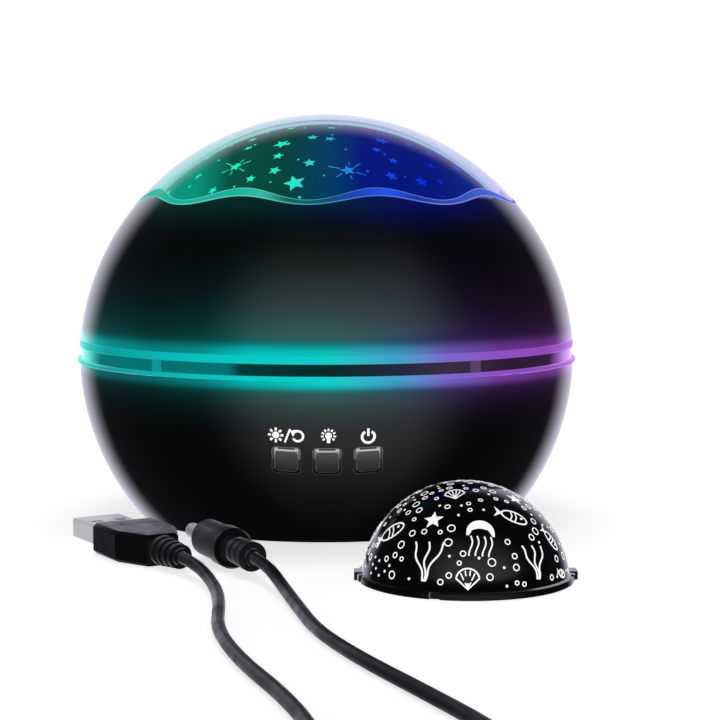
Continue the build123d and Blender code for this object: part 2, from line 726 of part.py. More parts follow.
def usb_shell():
    size = (USB_SHELL_WIDTH, USB_SHELL_HEIGHT)
    shell = Box(USB_SHELL_LENGTH, *size, align=X_MIN)
    shell = fillet(shell.edges().filter_by(Axis.X), 0.5)
    shell -= Pos(-1, 0, 0) * Box(
        USB_SHELL_LENGTH + 2, *[side - 2 * USB_SHELL_WALL for side in size], align=X_MIN
    )
    for side in (-1, 1):
        shell -= Pos(7.2, side * 2.9, 0) * Box(2.2, 2.5, 10)
    shell -= Pos(12.4, 0, 0) * Box(0.8, 1.9, 10)
    return USB_FRAME * shell


def usb_tongue():
    gap = USB_SHELL_HEIGHT / 2 - USB_SHELL_WALL
    tongue = Pos(0.6, 0, -gap) * Box(
        USB_SHELL_LENGTH - 0.6, 11.1, 1.9, align=(Align.MIN, Align.CENTER, Align.MIN)
    )
    return USB_FRAME * tongue


def usb_contacts():
    top = -(USB_SHELL_HEIGHT / 2 - USB_SHELL_WALL) + 1.9
    strips = []
    for y, start in ((-3.5, 1.2), (-1.0, 2.2), (1.0, 2.2), (3.5, 1.2)):
        strip = Box(9.0 - start, 1.0, 0.2, align=(Align.MIN, Align.CENTER, Align.MIN))
        strips.append(USB_FRAME * Pos(start, y, top) * strip)
    return strips


def usb_overmould():
    half, tail_half = USB_GRIP_WIDTH / 2, USB_TAIL_WIDTH / 2
    end = USB_GRIP_LENGTH + USB_TAPER_LENGTH
    outline = Polyline(
        (0, -half + 0.6), (0.6, -half), (USB_GRIP_LENGTH, -half), (end, -tail_half),
        (end, tail_half), (USB_GRIP_LENGTH, half), (0.6, half), (0, half - 0.6),
        close=True,
    )
    body = extrude(make_face(outline), USB_GRIP_HEIGHT / 2, both=True)
    rim = body.edges().group_by(Axis.Z)
    body = chamfer(rim[0] + rim[-1], 0.8)
    return USB_FRAME * Pos(USB_SHELL_LENGTH, 0, 0) * body


def along_x(profile):
    """Turns a profile of distance and radius about the plug's own axis."""
    return revolve(profile, Axis.X)


def ribbed_relief(length, radii, tail_r):
    """A strain relief of full rings on a thinner core that tapers to the cord."""
    pitch = length / len(radii)
    points = [(0, CORD_R)]
    for index, radius in enumerate(radii):
        start = index * pitch
        points += [(start, radius), (start + 0.62 * pitch, radius)]
        core = tail_r if index == len(radii) - 1 else 0.68 * radius
        points += [(start + 0.62 * pitch, core), (start + pitch, core)]
    points.append((length, CORD_R))
    return along_x(make_face(Polyline(*points, close=True)))


def usb_strain_relief():
    relief = ribbed_relief(USB_RELIEF_LENGTH, (3.3, 3.1, 2.9, 2.7), 1.9)
    start = USB_SHELL_LENGTH + USB_GRIP_LENGTH + USB_TAPER_LENGTH
    return USB_FRAME * Pos(start, 0, 0) * relief


def dc_barrel():
    points = [(0, 1.2), (0, 1.5), (0.25, DC_BARREL_R), (DC_BARREL_LENGTH, DC_BARREL_R),
              (DC_BARREL_LENGTH, 1.2)]
    return DC_FRAME * along_x(make_face(Polyline(*points, close=True)))


def dc_insulator():
    points = [(-0.3, 0.7), (-0.3, 1.15), (DC_BARREL_LENGTH, 1.15), (DC_BARREL_LENGTH, 0.7)]
    return DC_FRAME * along_x(make_face(Polyline(*points, close=True)))


def dc_overmould():
    points = [
        (0, 0), (0, 3.5), (0.8, 4.1), (9.4, 4.1), (9.4, 3.7), (9.9, 3.7), (9.9, 4.3),
        (10.5, 4.3), (10.5, 3.8), (11.0, 3.8), (11.0, 4.5), (15.6, 4.5), (17.2, 3.9),
        (DC_GRIP_LENGTH, 3.0), (DC_GRIP_LENGTH, 0),
    ]
    body = along_x(make_face(Polyline(*points, close=True)))
    return DC_FRAME * Pos(DC_BARREL_LENGTH, 0, 0) * body


def dc_strain_relief():
    relief = ribbed_relief(DC_RELIEF_LENGTH, (2.9, 3.0, 3.2), 1.9)
    return DC_FRAME * Pos(DC_BARREL_LENGTH + DC_GRIP_LENGTH, 0, 0) * relief


USB_LENGTH = USB_SHELL_LENGTH + USB_GRIP_LENGTH + USB_TAPER_LENGTH + USB_RELIEF_LENGTH
DC_LENGTH = DC_BARREL_LENGTH + DC_GRIP_LENGTH + DC_RELIEF_LENGTH
COIL_OUTER_COLUMN = COIL_MEAN_R + CORD_R
# Each route starts inside its strain relief and ends where the coil takes it in.
USB_ROUTE = [
    along(USB_TIP, USB_HEADING, USB_LENGTH - 4.0, USB_MID_Z),
    along(USB_TIP, USB_HEADING, USB_LENGTH + 6.0, USB_MID_Z),
    (-23.2, -97.0, 1.5),
    (-21.0, -114.0, CORD_R),
    (-20.5, -136.0, CORD_R),
    (-15.0, -160.0, CORD_R),
    (-6.5, -184.0, CORD_R),
    (-1.0, -207.0, CORD_R),
    (COIL_X - COIL_OUTER_COLUMN, -229.0, CORD_R),
    (COIL_X - COIL_OUTER_COLUMN + 0.6, COIL_Y, CORD_R),
]
DC_ROUTE = [
    along(DC_TIP, DC_HEADING, DC_LENGTH - 4.0, DC_MID_Z),
    along(DC_TIP, DC_HEADING, DC_LENGTH + 6.0, DC_MID_Z),
    (-8.6, -103.0, 1.6),
    (-5.5, -119.0, CORD_R),
    (-2.0, -138.0, CORD_R),
    (5.5, -159.0, CORD_R),
    (15.5, -181.0, CORD_R),
    (25.0, -203.0, CORD_R),
    (COIL_X + COIL_OUTER_COLUMN, -225.0, 2.2),
    (COIL_X + COIL_OUTER_COLUMN - 0.6, COIL_Y, 3.9),
]


def arc_radii(route):
    """One radius for each corner, as large as its two runs allow."""
    points = [Vector(*point) for point in route]
    radii = []
    for before, corner, after in zip(points, points[1:], points[2:]):
        turn = math.radians((corner - before).get_angle(after - corner))
        shorter = min((corner - before).length, (after - corner).length)
        radii.append(MIN_TRIM * shorter / math.tan(turn / 2))
    return radii


def lead_tube(name, route):
    radii = arc_radii(route)
    path = FilletPolyline(*route, radius=radii)
    start = Plane(origin=path @ 0, z_dir=path % 0)
    tube = sweep(start * Circle(CORD_R), path=path)
    expected = math.pi * CORD_R**2 * path.length
    print(name, "length", round(path.length, 1), "radii", [round(r, 1) for r in radii])
    print(name, "volume over section times length", round(tube.volume / expected, 4))
    return tube


def lead_coil():
    width = COIL_COLUMNS * CORD_R
    height = COIL_LAYERS * 2 * CORD_R
    section = chamfer(Rectangle(2 * width, height).vertices(), CORD_R * 0.7)
    return Pos(COIL_X, COIL_Y, 0) * turned(Pos(COIL_MEAN_R, height / 2) * section)


def lead_tie():
    """A soft band wound round the coil's section, on the side away from the lamp."""
    width, height = COIL_COLUMNS * 2 * CORD_R, COIL_LAYERS * 2 * CORD_R
    outer = Box(6.0, width + 1.2, height + 0.6, align=(
        Align.CENTER, Align.CENTER, Align.MIN))
    inner = Pos(0, 0, 0.5) * Box(8.0, width, height - 0.5, align=(
        Align.CENTER, Align.CENTER, Align.MIN))
    return Pos(COIL_X, COIL_Y - COIL_MEAN_R, 0) * (outer - inner)


# ---- write every sub-part ----------------------------------------------------------------------
save("lower_shell", lower_shell())
save("base_plate", base_plate())
save("non_slip_pad", non_slip_pad())
save_group("base_screws", base_screws())
save("inner_deck", inner_deck())
save("thrust_washer", thrust_washer())
save_group("deck_screws", deck_screws())
save("light_ring", light_ring())
save("ring_led_board", ring_led_board())
save_group("ring_leds", ring_leds())
save("gear_motor", gear_motor())
save_group("motor_screws", motor_screws())
save("motor_shaft", motor_shaft())
save("drive_pinion", drive_pinion())
save("turntable", turntable())
save("lamp_holder", lamp_holder())
save("lamp_board", lamp_board())
save("lamp_led", lamp_led())
save("lamp_lens", lamp_lens())
save_group("lamp_screws", lamp_screws())
save("star_dome", star_dome())
save("upper_shell", upper_shell())
save("clear_cap", clear_cap())
for button_name, button_x in BUTTONS.items():
    save(f"{button_name}_button", button(button_x))
    save(f"{button_name}_plunger", switch_plunger(button_x))
save_group("tact_switches", tact_switches())
save("control_board", control_board())
save("control_chip", control_chip())
save_group("wire_headers", wire_headers())
save_group("board_screws", board_screws())
save("dc_jack", dc_jack())
save("ocean_dome", ocean_dome())
save("usb_shell", usb_shell())
save("usb_tongue", usb_tongue())
save_group("usb_contacts", usb_contacts())
save("usb_overmould", usb_overmould())
save("usb_strain_relief", usb_strain_relief())
save("dc_barrel", dc_barrel())
save("dc_insulator", dc_insulator())
save("dc_overmould", dc_overmould())
save("dc_strain_relief", dc_strain_relief())
save("lead_tube_usb", lead_tube("lead_tube_usb", USB_ROUTE))
save("lead_tube_dc", lead_tube("lead_tube_dc", DC_ROUTE))
save("lead_coil", lead_coil())
save("lead_tie", lead_tie())
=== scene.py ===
# %% [markdown]
# # A star projector night lamp
# A glossy black ball with a glowing waist ring. Under its clear cap a printed dome turns
# over a lamp and throws stars on the ceiling. A spare dome and a power lead lie in front.
# The measured parts come from the CAD frame, each at its own place. Every number below is
# in millimetres unless it says otherwise, and `MM` turns it into Blender's metres.

# %% Load the measured parts
import json
import math
import random

import bmesh
import bpy
from mathutils import Matrix, Vector

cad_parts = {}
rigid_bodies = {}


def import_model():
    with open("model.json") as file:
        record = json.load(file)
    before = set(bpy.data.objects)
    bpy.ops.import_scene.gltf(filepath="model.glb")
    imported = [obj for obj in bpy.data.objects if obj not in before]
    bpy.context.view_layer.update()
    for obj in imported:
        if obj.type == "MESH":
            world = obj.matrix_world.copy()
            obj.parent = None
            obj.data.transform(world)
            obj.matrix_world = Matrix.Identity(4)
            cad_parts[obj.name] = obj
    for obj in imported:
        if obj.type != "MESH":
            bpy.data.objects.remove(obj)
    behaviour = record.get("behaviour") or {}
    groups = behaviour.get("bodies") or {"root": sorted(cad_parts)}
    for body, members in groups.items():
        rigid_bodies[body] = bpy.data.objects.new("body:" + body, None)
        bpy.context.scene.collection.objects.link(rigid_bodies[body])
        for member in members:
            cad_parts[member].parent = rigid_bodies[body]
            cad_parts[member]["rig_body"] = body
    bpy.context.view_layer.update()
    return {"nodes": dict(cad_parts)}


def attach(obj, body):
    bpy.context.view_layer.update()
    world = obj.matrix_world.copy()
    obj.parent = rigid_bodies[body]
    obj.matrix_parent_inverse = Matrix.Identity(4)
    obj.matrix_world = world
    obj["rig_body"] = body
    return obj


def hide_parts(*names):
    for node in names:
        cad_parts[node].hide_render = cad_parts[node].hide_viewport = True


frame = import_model()
MM = 0.001

# %% [markdown]
# ## Camera
# A long lens from just above the middle of the ball keeps the waist ring nearly level.
# A wide lens close by would bend the ring. The camera is set before any piece, because
# the spare length of the lead is put away just outside its view.

# %% Camera
CAMERA_PLACE = Vector((0, -470, 79)) * MM
CAMERA_DOWN, CAMERA_RIGHT = math.radians(4.84), math.radians(1.025)
CAMERA_LENS, CAMERA_NEAR = 92.25, 0.02


def added(name, data):
    """Puts a new object with its data into the scene."""
    made = bpy.data.objects.new(name, data)
    bpy.context.scene.collection.objects.link(made)
    return made


camera = added("camera", bpy.data.cameras.new("camera"))
camera.location = CAMERA_PLACE
camera.rotation_euler = (math.pi / 2 - CAMERA_DOWN, 0, -CAMERA_RIGHT)
camera.data.lens = CAMERA_LENS
camera.data.clip_start = CAMERA_NEAR
bpy.context.scene.camera = camera
bpy.context.scene.view_settings.view_transform = "Standard"
print("camera at", tuple(round(v, 3) for v in camera.location), "lens", camera.data.lens)

# %% [markdown]
# ## Paint
# Real plastic, rubber and plate are never one flat value. Pictures on them would need
# unwrapping, so noise that stays fixed to the piece gives them life. One function makes
# every plain finish: a colour that clouds slightly, a roughness that wanders and a very
# fine bump.


# %% Helpers for nodes
def feed(tree, socket, value):
    """Gives an input a value, or links another node's socket to it."""
    if isinstance(value, bpy.types.NodeSocket):
        tree.links.new(value, socket)
    else:
        socket.default_value = value


def maths(tree, operation, *values, clamp=False):
    """The result of a Math node."""
    node = tree.nodes.new("ShaderNodeMath")
    node.operation = operation
    node.use_clamp = clamp
    for socket, value in zip(node.inputs, values):
        feed(tree, socket, value)
    return node.outputs[0]


def mapped(tree, value, low, high, at_low, at_high, way="LINEAR"):
    """A value's range laid onto another range."""
    node = tree.nodes.new("ShaderNodeMapRange")
    node.interpolation_type = way
    for label, number in (("Value", value), ("From Min", low), ("From Max", high),
                          ("To Min", at_low), ("To Max", at_high)):
        feed(tree, node.inputs[label], number)
    return node.outputs["Result"]


def noise(tree, scale, detail=3.0):
    """Cloudy noise that stays fixed to the piece."""
    place = tree.nodes.new("ShaderNodeTexCoord")
    cloud = tree.nodes.new("ShaderNodeTexNoise")
    cloud.inputs["Scale"].default_value = scale
    cloud.inputs["Detail"].default_value = detail
    tree.links.new(place.outputs["Object"], cloud.inputs["Vector"])
    return cloud.outputs["Fac"]


# %% Plain finishes
CLOUD_SCALE, WANDER_SCALE, BUMP_DEPTH = 60.0, 240.0, 0.05


def finish(name, colour, roughness, metallic=0.0, cloud=0.15, grain=900.0, bump=0.05,
           shine=0.5):
    """A clouded colour, a wandering roughness and a fine bump."""
    material = bpy.data.materials.new(name)
    material.use_nodes = True
    tree = material.node_tree
    shader = tree.nodes["Principled BSDF"]
    mix = tree.nodes.new("ShaderNodeMix")
    mix.data_type = "RGBA"
    mix.inputs["A"].default_value = (*[c * (1 - cloud) for c in colour], 1)
    mix.inputs["B"].default_value = (*[min(1, c * (1 + cloud)) for c in colour], 1)
    tree.links.new(noise(tree, CLOUD_SCALE), mix.inputs["Factor"])
    tree.links.new(mix.outputs["Result"], shader.inputs["Base Color"])
    rough = mapped(tree, noise(tree, WANDER_SCALE), 0.3, 0.7, roughness * 0.8,
                   roughness * 1.25)
    tree.links.new(rough, shader.inputs["Roughness"])
    relief = tree.nodes.new("ShaderNodeBump")
    relief.inputs["Strength"].default_value = bump
    relief.inputs["Distance"].default_value = BUMP_DEPTH * MM
    tree.links.new(noise(tree, grain, 2.0), relief.inputs["Height"])
    tree.links.new(relief.outputs["Normal"], shader.inputs["Normal"])
    shader.inputs["Metallic"].default_value = metallic
    shader.inputs["Specular IOR Level"].default_value = shine
    return material


GLOSS_BLACK = finish("gloss_black", (0.001, 0.001, 0.0012), 0.12, bump=0.003)
MATTE_BLACK = finish("matte_black", (0.014, 0.014, 0.015), 0.5, grain=2200, bump=0.25)
SOFT_BLACK = finish("soft_black_pvc", (0.0025, 0.0025, 0.003), 0.38, grain=2600, bump=0.1,
                    shine=0.3)
PAD_RUBBER = finish("pad_rubber", (0.02, 0.02, 0.022), 0.8, grain=1500, bump=0.5)
NICKEL = finish("nickel", (0.86, 0.86, 0.86), 0.35, metallic=0.3, cloud=0.05, bump=0.04)
ZINC = finish("zinc", (0.45, 0.46, 0.48), 0.4, metallic=1.0, bump=0.15)
GOLD = finish("gold_flash", (0.75, 0.5, 0.2), 0.3, metallic=1.0)
NYLON = finish("natural_nylon", (0.7, 0.68, 0.62), 0.45, bump=0.15)
BOARD_GREEN = finish("green_board", (0.01, 0.12, 0.05), 0.35, cloud=0.3, bump=0.3)
BOARD_WHITE = finish("white_board", (0.75, 0.76, 0.74), 0.4, bump=0.2)
HEADER_WHITE = finish("header_white", (0.72, 0.7, 0.65), 0.5, bump=0.1)
CHIP_BLACK = finish("chip_epoxy", (0.01, 0.01, 0.01), 0.55, grain=3000, bump=0.4)
LED_YELLOW = finish("led_package", (0.8, 0.72, 0.3), 0.4, bump=0.1)
print("plain finishes", len(bpy.data.materials))

# %% [markdown]
# ## The glow
# Coloured lamps sit behind the waist ring and under the clear cap. Their light runs from
# teal through blue to purple across the front. Real lamps behind real diffusers would be
# slow and noisy to render, so the glow is emission whose colour is a ramp over X. The light
# that spills onto the black shells is painted on them too, as emission that fades with height
# and is fixed to the part from every side.

# %% Glow colours and how they fade
BALL_REACH = 63


def object_axes(tree):
    """X, Y and Z on the piece, in metres."""
    place = tree.nodes.new("ShaderNodeTexCoord")
    split = tree.nodes.new("ShaderNodeSeparateXYZ")
    tree.links.new(place.outputs["Object"], split.inputs["Vector"])
    return split.outputs


def colour_over_x(tree, stops, half_width=BALL_REACH):
    """Colours placed at X values in millimetres."""
    position = maths(tree, "MULTIPLY_ADD", object_axes(tree)["X"],
                     0.5 / (half_width * MM), 0.5)
    ramp = tree.nodes.new("ShaderNodeValToRGB")
    points = ramp.color_ramp.elements
    while len(points) < len(stops):
        points.new(0.5)
    for point, (x, colour) in zip(points, stops):
        point.position = 0.5 + 0.5 * x / half_width
        point.color = (*colour, 1)
    tree.links.new(position, ramp.inputs["Fac"])
    return ramp.outputs["Color"]


def fade_from(tree, height, reach, power):
    """1 at a height, falling to 0 above and below it. A higher power falls later."""
    rise = maths(tree, "SUBTRACT", object_axes(tree)["Z"], height * MM)
    away = maths(tree, "ABSOLUTE", maths(tree, "DIVIDE", rise, reach * MM))
    return maths(tree, "EXPONENT",
                 maths(tree, "MULTIPLY", maths(tree, "POWER", away, power), -1))


def scaled(tree, colour, factor):
    """A colour made stronger or weaker by a number or a socket."""
    node = tree.nodes.new("ShaderNodeVectorMath")
    node.operation = "SCALE"
    tree.links.new(colour, node.inputs[0])
    feed(tree, node.inputs["Scale"], factor)
    return node.outputs["Vector"]


def summed(tree, first, second):
    """Two colours added."""
    node = tree.nodes.new("ShaderNodeVectorMath")
    tree.links.new(first, node.inputs[0])
    tree.links.new(second, node.inputs[1])
    return node.outputs["Vector"]


# %% Ways to make a finish glow
def glow(material, colour):
    """Emission whose colour comes from a node."""
    shader = material.node_tree.nodes["Principled BSDF"]
    material.node_tree.links.new(colour, shader.inputs["Emission Color"])
    shader.inputs["Emission Strength"].default_value = 1.0
    return material


def glow_over_x(material, stops, half_width=BALL_REACH):
    """Emission whose colours are placed over X."""
    return glow(material, colour_over_x(material.node_tree, stops, half_width))


def even_glow(material, strength):
    """White emission of one strength."""
    shader = material.node_tree.nodes["Principled BSDF"]
    shader.inputs["Emission Color"].default_value = (1, 1, 1, 1)
    shader.inputs["Emission Strength"].default_value = strength
    return material


# %% Colours of the waist ring, its painted spill and the painted crown glow
def dimmed(stops, *shares):
    """The same places with each colour made weaker by its own share."""
    return [(x, tuple(part * share for part in colour))
            for (x, colour), share in zip(stops, shares)]


WAIST_STOPS = [
    (-62, (0.0, 0.66, 0.6)), (-52, (0.0, 0.32, 0.32)), (-40, (0.0, 0.43, 0.42)),
    (-28, (0.0, 0.52, 0.5)), (-17, (0.0, 0.58, 0.56)), (0, (0.002, 0.6, 0.57)),
    (16, (0.05, 0.34, 0.6)), (27, (0.2, 0.13, 0.6)), (40, (0.27, 0.07, 0.53)),
    (52, (0.28, 0.058, 0.48)), (62, (0.42, 0.13, 0.67)),
]
PAINTED_SPILL_ABOVE = dimmed(WAIST_STOPS, 1.0, 1.0, 0.55, 0.6, 1.05, 1.0, 1.0, 0.8, 0.55, 0.5, 0.6)
PAINTED_SPILL_BELOW = dimmed(WAIST_STOPS, 0.35, 0.35, 0.3, 0.4, 0.75, 1.0, 0.9, 0.85, 0.6, 0.5, 0.5)
PAINTED_CROWN_STOPS = [
    (-50, (0.0, 0.035, 0.024)), (-15, (0.0, 0.03, 0.028)), (0, (0.0, 0.02, 0.065)),
    (21, (0.001, 0.004, 0.17)), (36, (0.0, 0.003, 0.1)), (50, (0.0, 0.003, 0.08)),
]
print("glow colours", len(WAIST_STOPS), "at the waist,", len(PAINTED_CROWN_STOPS), "at the crown")

# %% [markdown]
# ## Building round pieces
# Most of the lamp is turned. A Screw modifier could turn a section, but the edge between
# the cover and the cap is wavy, so the section changes on the way round. One function
# therefore sweeps a closed section that may depend on the azimuth. Points on the axis fall
# together and are merged, so poles are closed.

# %% Ball skins, as measured: height of the centre, and radius
LOWER_BALL = (41.458, 62.525)
UPPER_BALL = (38.980, 62.620)
CAP_INSIDE_BALL = (40.796, 59.004)
DOME_BALL = (40.914, 57.986)
RING_LOW, WINDOW_LOW, WINDOW_HIGH, RING_HIGH = 39.7, 40.7, 43.4, 45.3
WAVES, WAVE_CREST = 9, 14.8


def skin_radius(ball, z, inset=0.0):
    """Radius of a ball's skin at a height."""
    centre, radius = ball
    return math.sqrt(max(0.0, (radius - inset) ** 2 - (z - centre) ** 2))


def skin_points(ball, inset, z_low, z_high, steps):
    """Even steps along a skin's arc between two heights."""
    centre, radius = ball
    radius -= inset
    low = math.asin(max(-1, min(1, (z_low - centre) / radius)))
    high = math.asin(max(-1, min(1, (z_high - centre) / radius)))
    turns = [low + (high - low) * step / steps for step in range(steps + 1)]
    return [(radius * math.cos(turn), centre + radius * math.sin(turn)) for turn in turns]


def wave_height(azimuth, middle, height):
    """Height of the wave that the cover and the cap share."""
    return middle + height * math.cos(WAVES * (azimuth - math.radians(WAVE_CREST)))


print("skin radius at the waist", round(skin_radius(LOWER_BALL, RING_LOW), 2))

# %% Turn vertices and faces into a piece
SHARP_EDGE, MERGE = 30, 0.0005


def smoothed(mesh, sharp=SHARP_EDGE):
    """Smooths all but the edges that are sharper than an angle."""
    mesh.shade_smooth()
    mesh.set_sharp_from_angle(angle=math.radians(sharp))


def mesh_of(name, vertices, faces, *materials):
    """A mesh from places in millimetres."""
    mesh = bpy.data.meshes.new(name)
    mesh.from_pydata([Vector(v) * MM for v in vertices], [], faces)
    for material in materials:
        mesh.materials.append(material)
    return mesh


def tidy_mesh(mesh):
    """Merges doubles, turns faces outwards and smooths them."""
    soup = bmesh.new()
    soup.from_mesh(mesh)
    bmesh.ops.remove_doubles(soup, verts=soup.verts, dist=MERGE * MM)
    bmesh.ops.dissolve_degenerate(soup, edges=soup.edges, dist=1e-8)
    bmesh.ops.recalc_face_normals(soup, faces=soup.faces)
    soup.to_mesh(mesh)
    soup.free()
    smoothed(mesh)


def new_piece(name, vertices, faces, body, slot, *materials):
    """A piece that rides on a body, with its materials. The slot is not used."""
    mesh = mesh_of(name, vertices, faces, *materials)
    tidy_mesh(mesh)
    piece = added(name, mesh)
    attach(piece, body)
    return piece


def together(shapes):
    """Vertices and faces of several shapes as those of one."""
    vertices, faces = [], []
    for some_vertices, some_faces in shapes:
        faces += [tuple(len(vertices) + i for i in face) for face in some_faces]
        vertices += some_vertices
    return vertices, faces


# %% Sweep a section round the axis
def polar(radius, angle, x=0.0, y=0.0):
    """The point at a radius and an angle round a middle."""
    return (x + radius * math.cos(angle), y + radius * math.sin(angle))


def swept(section_at, columns=192, closed=True):
    """Vertices and faces of a section swept round Z. section_at(turn) gives (r, z)."""
    vertices, faces = [], []
    for column in range(columns):
        turn = 2 * math.pi * column / columns
        section = section_at(turn)
        for radius, z in section:
            vertices.append((radius * math.sin(turn), -radius * math.cos(turn), z))
    count = len(section)
    for column in range(columns):
        here, there = column * count, (column + 1) % columns * count
        for step in range(count if closed else count - 1):
            after = (step + 1) % count
            faces.append((here + step, here + after, there + after, there + step))
    return vertices, faces


def turned(name, section, body, slot, material, columns=192):
    """A piece with the same section all the way round."""
    return new_piece(name, *swept(lambda turn: section, columns), body, slot, material)


# %% [markdown]
# ## The power lead
# A soft PVC lead about a metre long runs from the barrel plug to a neat coil and back to
# the USB plug. A tube swept along straight runs and arcs would look like bent wire, so one
# NURBS curve carries the whole lead: a real one has no corners.

# %% Route of the lead
CORD_R, CORD_LENGTH = 1.3, 1.02
USB_TIP, USB_TURN, USB_Z, USB_LENGTH = (-54.3, -38.8), 30.0, 3.5, 46.5
DC_TIP, DC_TURN, DC_Z, DC_LENGTH = (-31.0, -51.4), 25.0, 4.5, 37.1
COIL_X, COIL_Y, COIL_R = 14.0, -246.0, 14.5


def along(start, turn, distance, z):
    """A place along a plug's own axis, from its tip."""
    turn = math.radians(turn)
    return (start[0] + distance * math.sin(turn), start[1] - distance * math.cos(turn), z)


USB_ROUTE = [
    along(USB_TIP, USB_TURN, USB_LENGTH - 4, USB_Z),
    along(USB_TIP, USB_TURN, USB_LENGTH + 6, USB_Z),
    (-23.2, -97, 1.5), (-21, -114, CORD_R), (-20.5, -136, CORD_R), (-15, -160, CORD_R),
    (-6.5, -184, CORD_R), (-1, -207, CORD_R), (COIL_X - 15.8, -229, CORD_R),
]
DC_ROUTE = [
    along(DC_TIP, DC_TURN, DC_LENGTH - 4, DC_Z),
    along(DC_TIP, DC_TURN, DC_LENGTH + 6, DC_Z),
    (-8.6, -103, 1.6), (-5.5, -119, CORD_R), (-2, -138, CORD_R), (5.5, -159, CORD_R),
    (15.5, -181, CORD_R), (25, -203, CORD_R), (COIL_X + 15.8, -225, 2.2),
]

# %% Turns of the coil
# Each slot is a column, 0 inside or 1 outside, and a layer above the floor.
COIL_SLOTS = [(1, 0), (0, 0), (0, 1), (0, 2), (0, 3), (1, 3), (1, 2), (1, 1)]
TURN_POINTS, COIL_TURNS = 16, 7.5
STAY_SHARE, STEP_SHARE = 0.8, 0.2


def coil_place(turns):
    """Where the lead lies after a number of turns, counted from the USB end."""
    index = min(int(turns), len(COIL_SLOTS) - 1)
    blend = max(0.0, (turns - index - STAY_SHARE) / STEP_SHARE)
    blend = blend * blend * (3 - 2 * blend)
    here = COIL_SLOTS[index]
    there = COIL_SLOTS[min(index + 1, len(COIL_SLOTS) - 1)]
    column, layer = (here[k] + (there[k] - here[k]) * blend for k in (0, 1))
    radius = COIL_R + CORD_R * (2 * column - 1)
    angle = math.pi + 2 * math.pi * turns
    return (COIL_X + radius * math.cos(angle), COIL_Y + radius * math.sin(angle),
            CORD_R + 2 * CORD_R * layer)


coil = [coil_place(step / TURN_POINTS)
        for step in range(int(COIL_TURNS * TURN_POINTS), -1, -1)]
route = DC_ROUTE + coil + USB_ROUTE[::-1]
print("lead route", len(route), "points, coil", len(coil))

# %% The lead as one NURBS curve
curve = bpy.data.curves.new("power_lead_cord", "CURVE")
curve.dimensions = "3D"
spline = curve.splines.new("NURBS")
spline.points.add(len(route) - 1)
for point, place in zip(spline.points, route):
    point.co = (*(Vector(place) * MM), 1)
spline.order_u = 3
spline.use_endpoint_u = True
spline.resolution_u = 4
curve.bevel_depth = CORD_R * MM
curve.bevel_resolution = 3
curve.use_fill_caps = True
curve.materials.append(SOFT_BLACK)
cord = added("power_lead_cord", curve)
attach(cord, "power_lead")
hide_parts("lead_tube_usb", "lead_tube_dc", "lead_coil")
print("lead", len(spline.points), "control points")

# %% [markdown]
# ## Pieces that keep their measured shape
# Screws, plugs, boards and gears are right as they were measured, and modelling them again
# would only add mistakes. A merged copy with smooth shading and, where edges are moulded,
# a small bevel takes the light better. The rest only needs paint.


# %% Smooth copies of measured pieces
def smooth_copy(node, material, bevel=0.0, sharp=SHARP_EDGE):
    """Stands for a node with the node's own shape, merged and smoothed."""
    source = frame["nodes"][node]
    mesh = source.data.copy()
    mesh.name = node + "_finish"
    mesh.materials.clear()
    mesh.materials.append(material)
    piece = added(node + "_finish", mesh)
    soup = bmesh.new()
    soup.from_mesh(mesh)
    bmesh.ops.remove_doubles(soup, verts=soup.verts, dist=0.0008 * MM)
    bmesh.ops.dissolve_limit(soup, angle_limit=math.radians(0.5), verts=soup.verts,
                             edges=soup.edges)
    soup.to_mesh(mesh)
    soup.free()
    smoothed(mesh, sharp)
    if bevel:
        edge = piece.modifiers.new("edge", "BEVEL")
        edge.width = bevel * MM
        edge.segments = 3
        edge.limit_method = "ANGLE"
        edge.angle_limit = math.radians(sharp)
        edge.harden_normals = True
    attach(piece, source["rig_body"])
    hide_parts(node)
    return piece


# %% Plugs, and a list of all that the lead carries
lead_pieces = [
    smooth_copy("usb_overmould", SOFT_BLACK, bevel=0.35),
    smooth_copy("usb_strain_relief", SOFT_BLACK),
    smooth_copy("usb_shell", NICKEL),
    smooth_copy("dc_barrel", NICKEL),
    smooth_copy("dc_insulator", CHIP_BLACK),
    smooth_copy("dc_overmould", SOFT_BLACK, sharp=24),
    smooth_copy("dc_strain_relief", SOFT_BLACK),
]
for node in ("usb_tongue", "usb_contacts", "lead_tie"):
    lead_pieces.append(frame["nodes"][node])
print("pieces on the lead", len(lead_pieces))

# %% Works and covers of the ball
SMOOTHED = (
    ("gear_motor", ZINC, "steel_zinc"), ("motor_shaft", NICKEL, "nickel"),
    ("drive_pinion", NYLON, "nylon_white"), ("turntable", MATTE_BLACK, "black_matte"),
    ("lamp_holder", NYLON, "nylon_white"), ("inner_deck", MATTE_BLACK, "black_matte"),
    ("base_plate", MATTE_BLACK, "black_matte"), ("non_slip_pad", PAD_RUBBER, "pad_rubber"),
    ("dc_jack", MATTE_BLACK, "black_matte"), ("thrust_washer", NYLON, "nylon_white"),
    ("ring_led_board", BOARD_WHITE, "board_white"),
    ("lamp_board", BOARD_WHITE, "board_white"),
)
for node, material, slot in SMOOTHED:
    smooth_copy(node, material)
print("smoothed", len(SMOOTHED), "measured pieces")

# %% Paint the measured pieces that stay
PAINTED = {
    ZINC: ("base_screws", "deck_screws", "motor_screws", "lamp_screws", "board_screws",
           "tact_switches"),
    BOARD_GREEN: ("control_board",),
    CHIP_BLACK: ("control_chip",),
    HEADER_WHITE: ("wire_headers",),
    LED_YELLOW: ("ring_leds", "lamp_led"),
    MATTE_BLACK: ("rotate_plunger", "lamp_plunger", "power_plunger", "usb_tongue",
                  "lead_tie"),
    GOLD: ("usb_contacts",),
}
for material, nodes in PAINTED.items():
    for node in nodes:
        materials = frame["nodes"][node].data.materials
        materials.clear()
        materials.append(material)
print("painted", sum(len(nodes) for nodes in PAINTED.values()), "measured pieces")
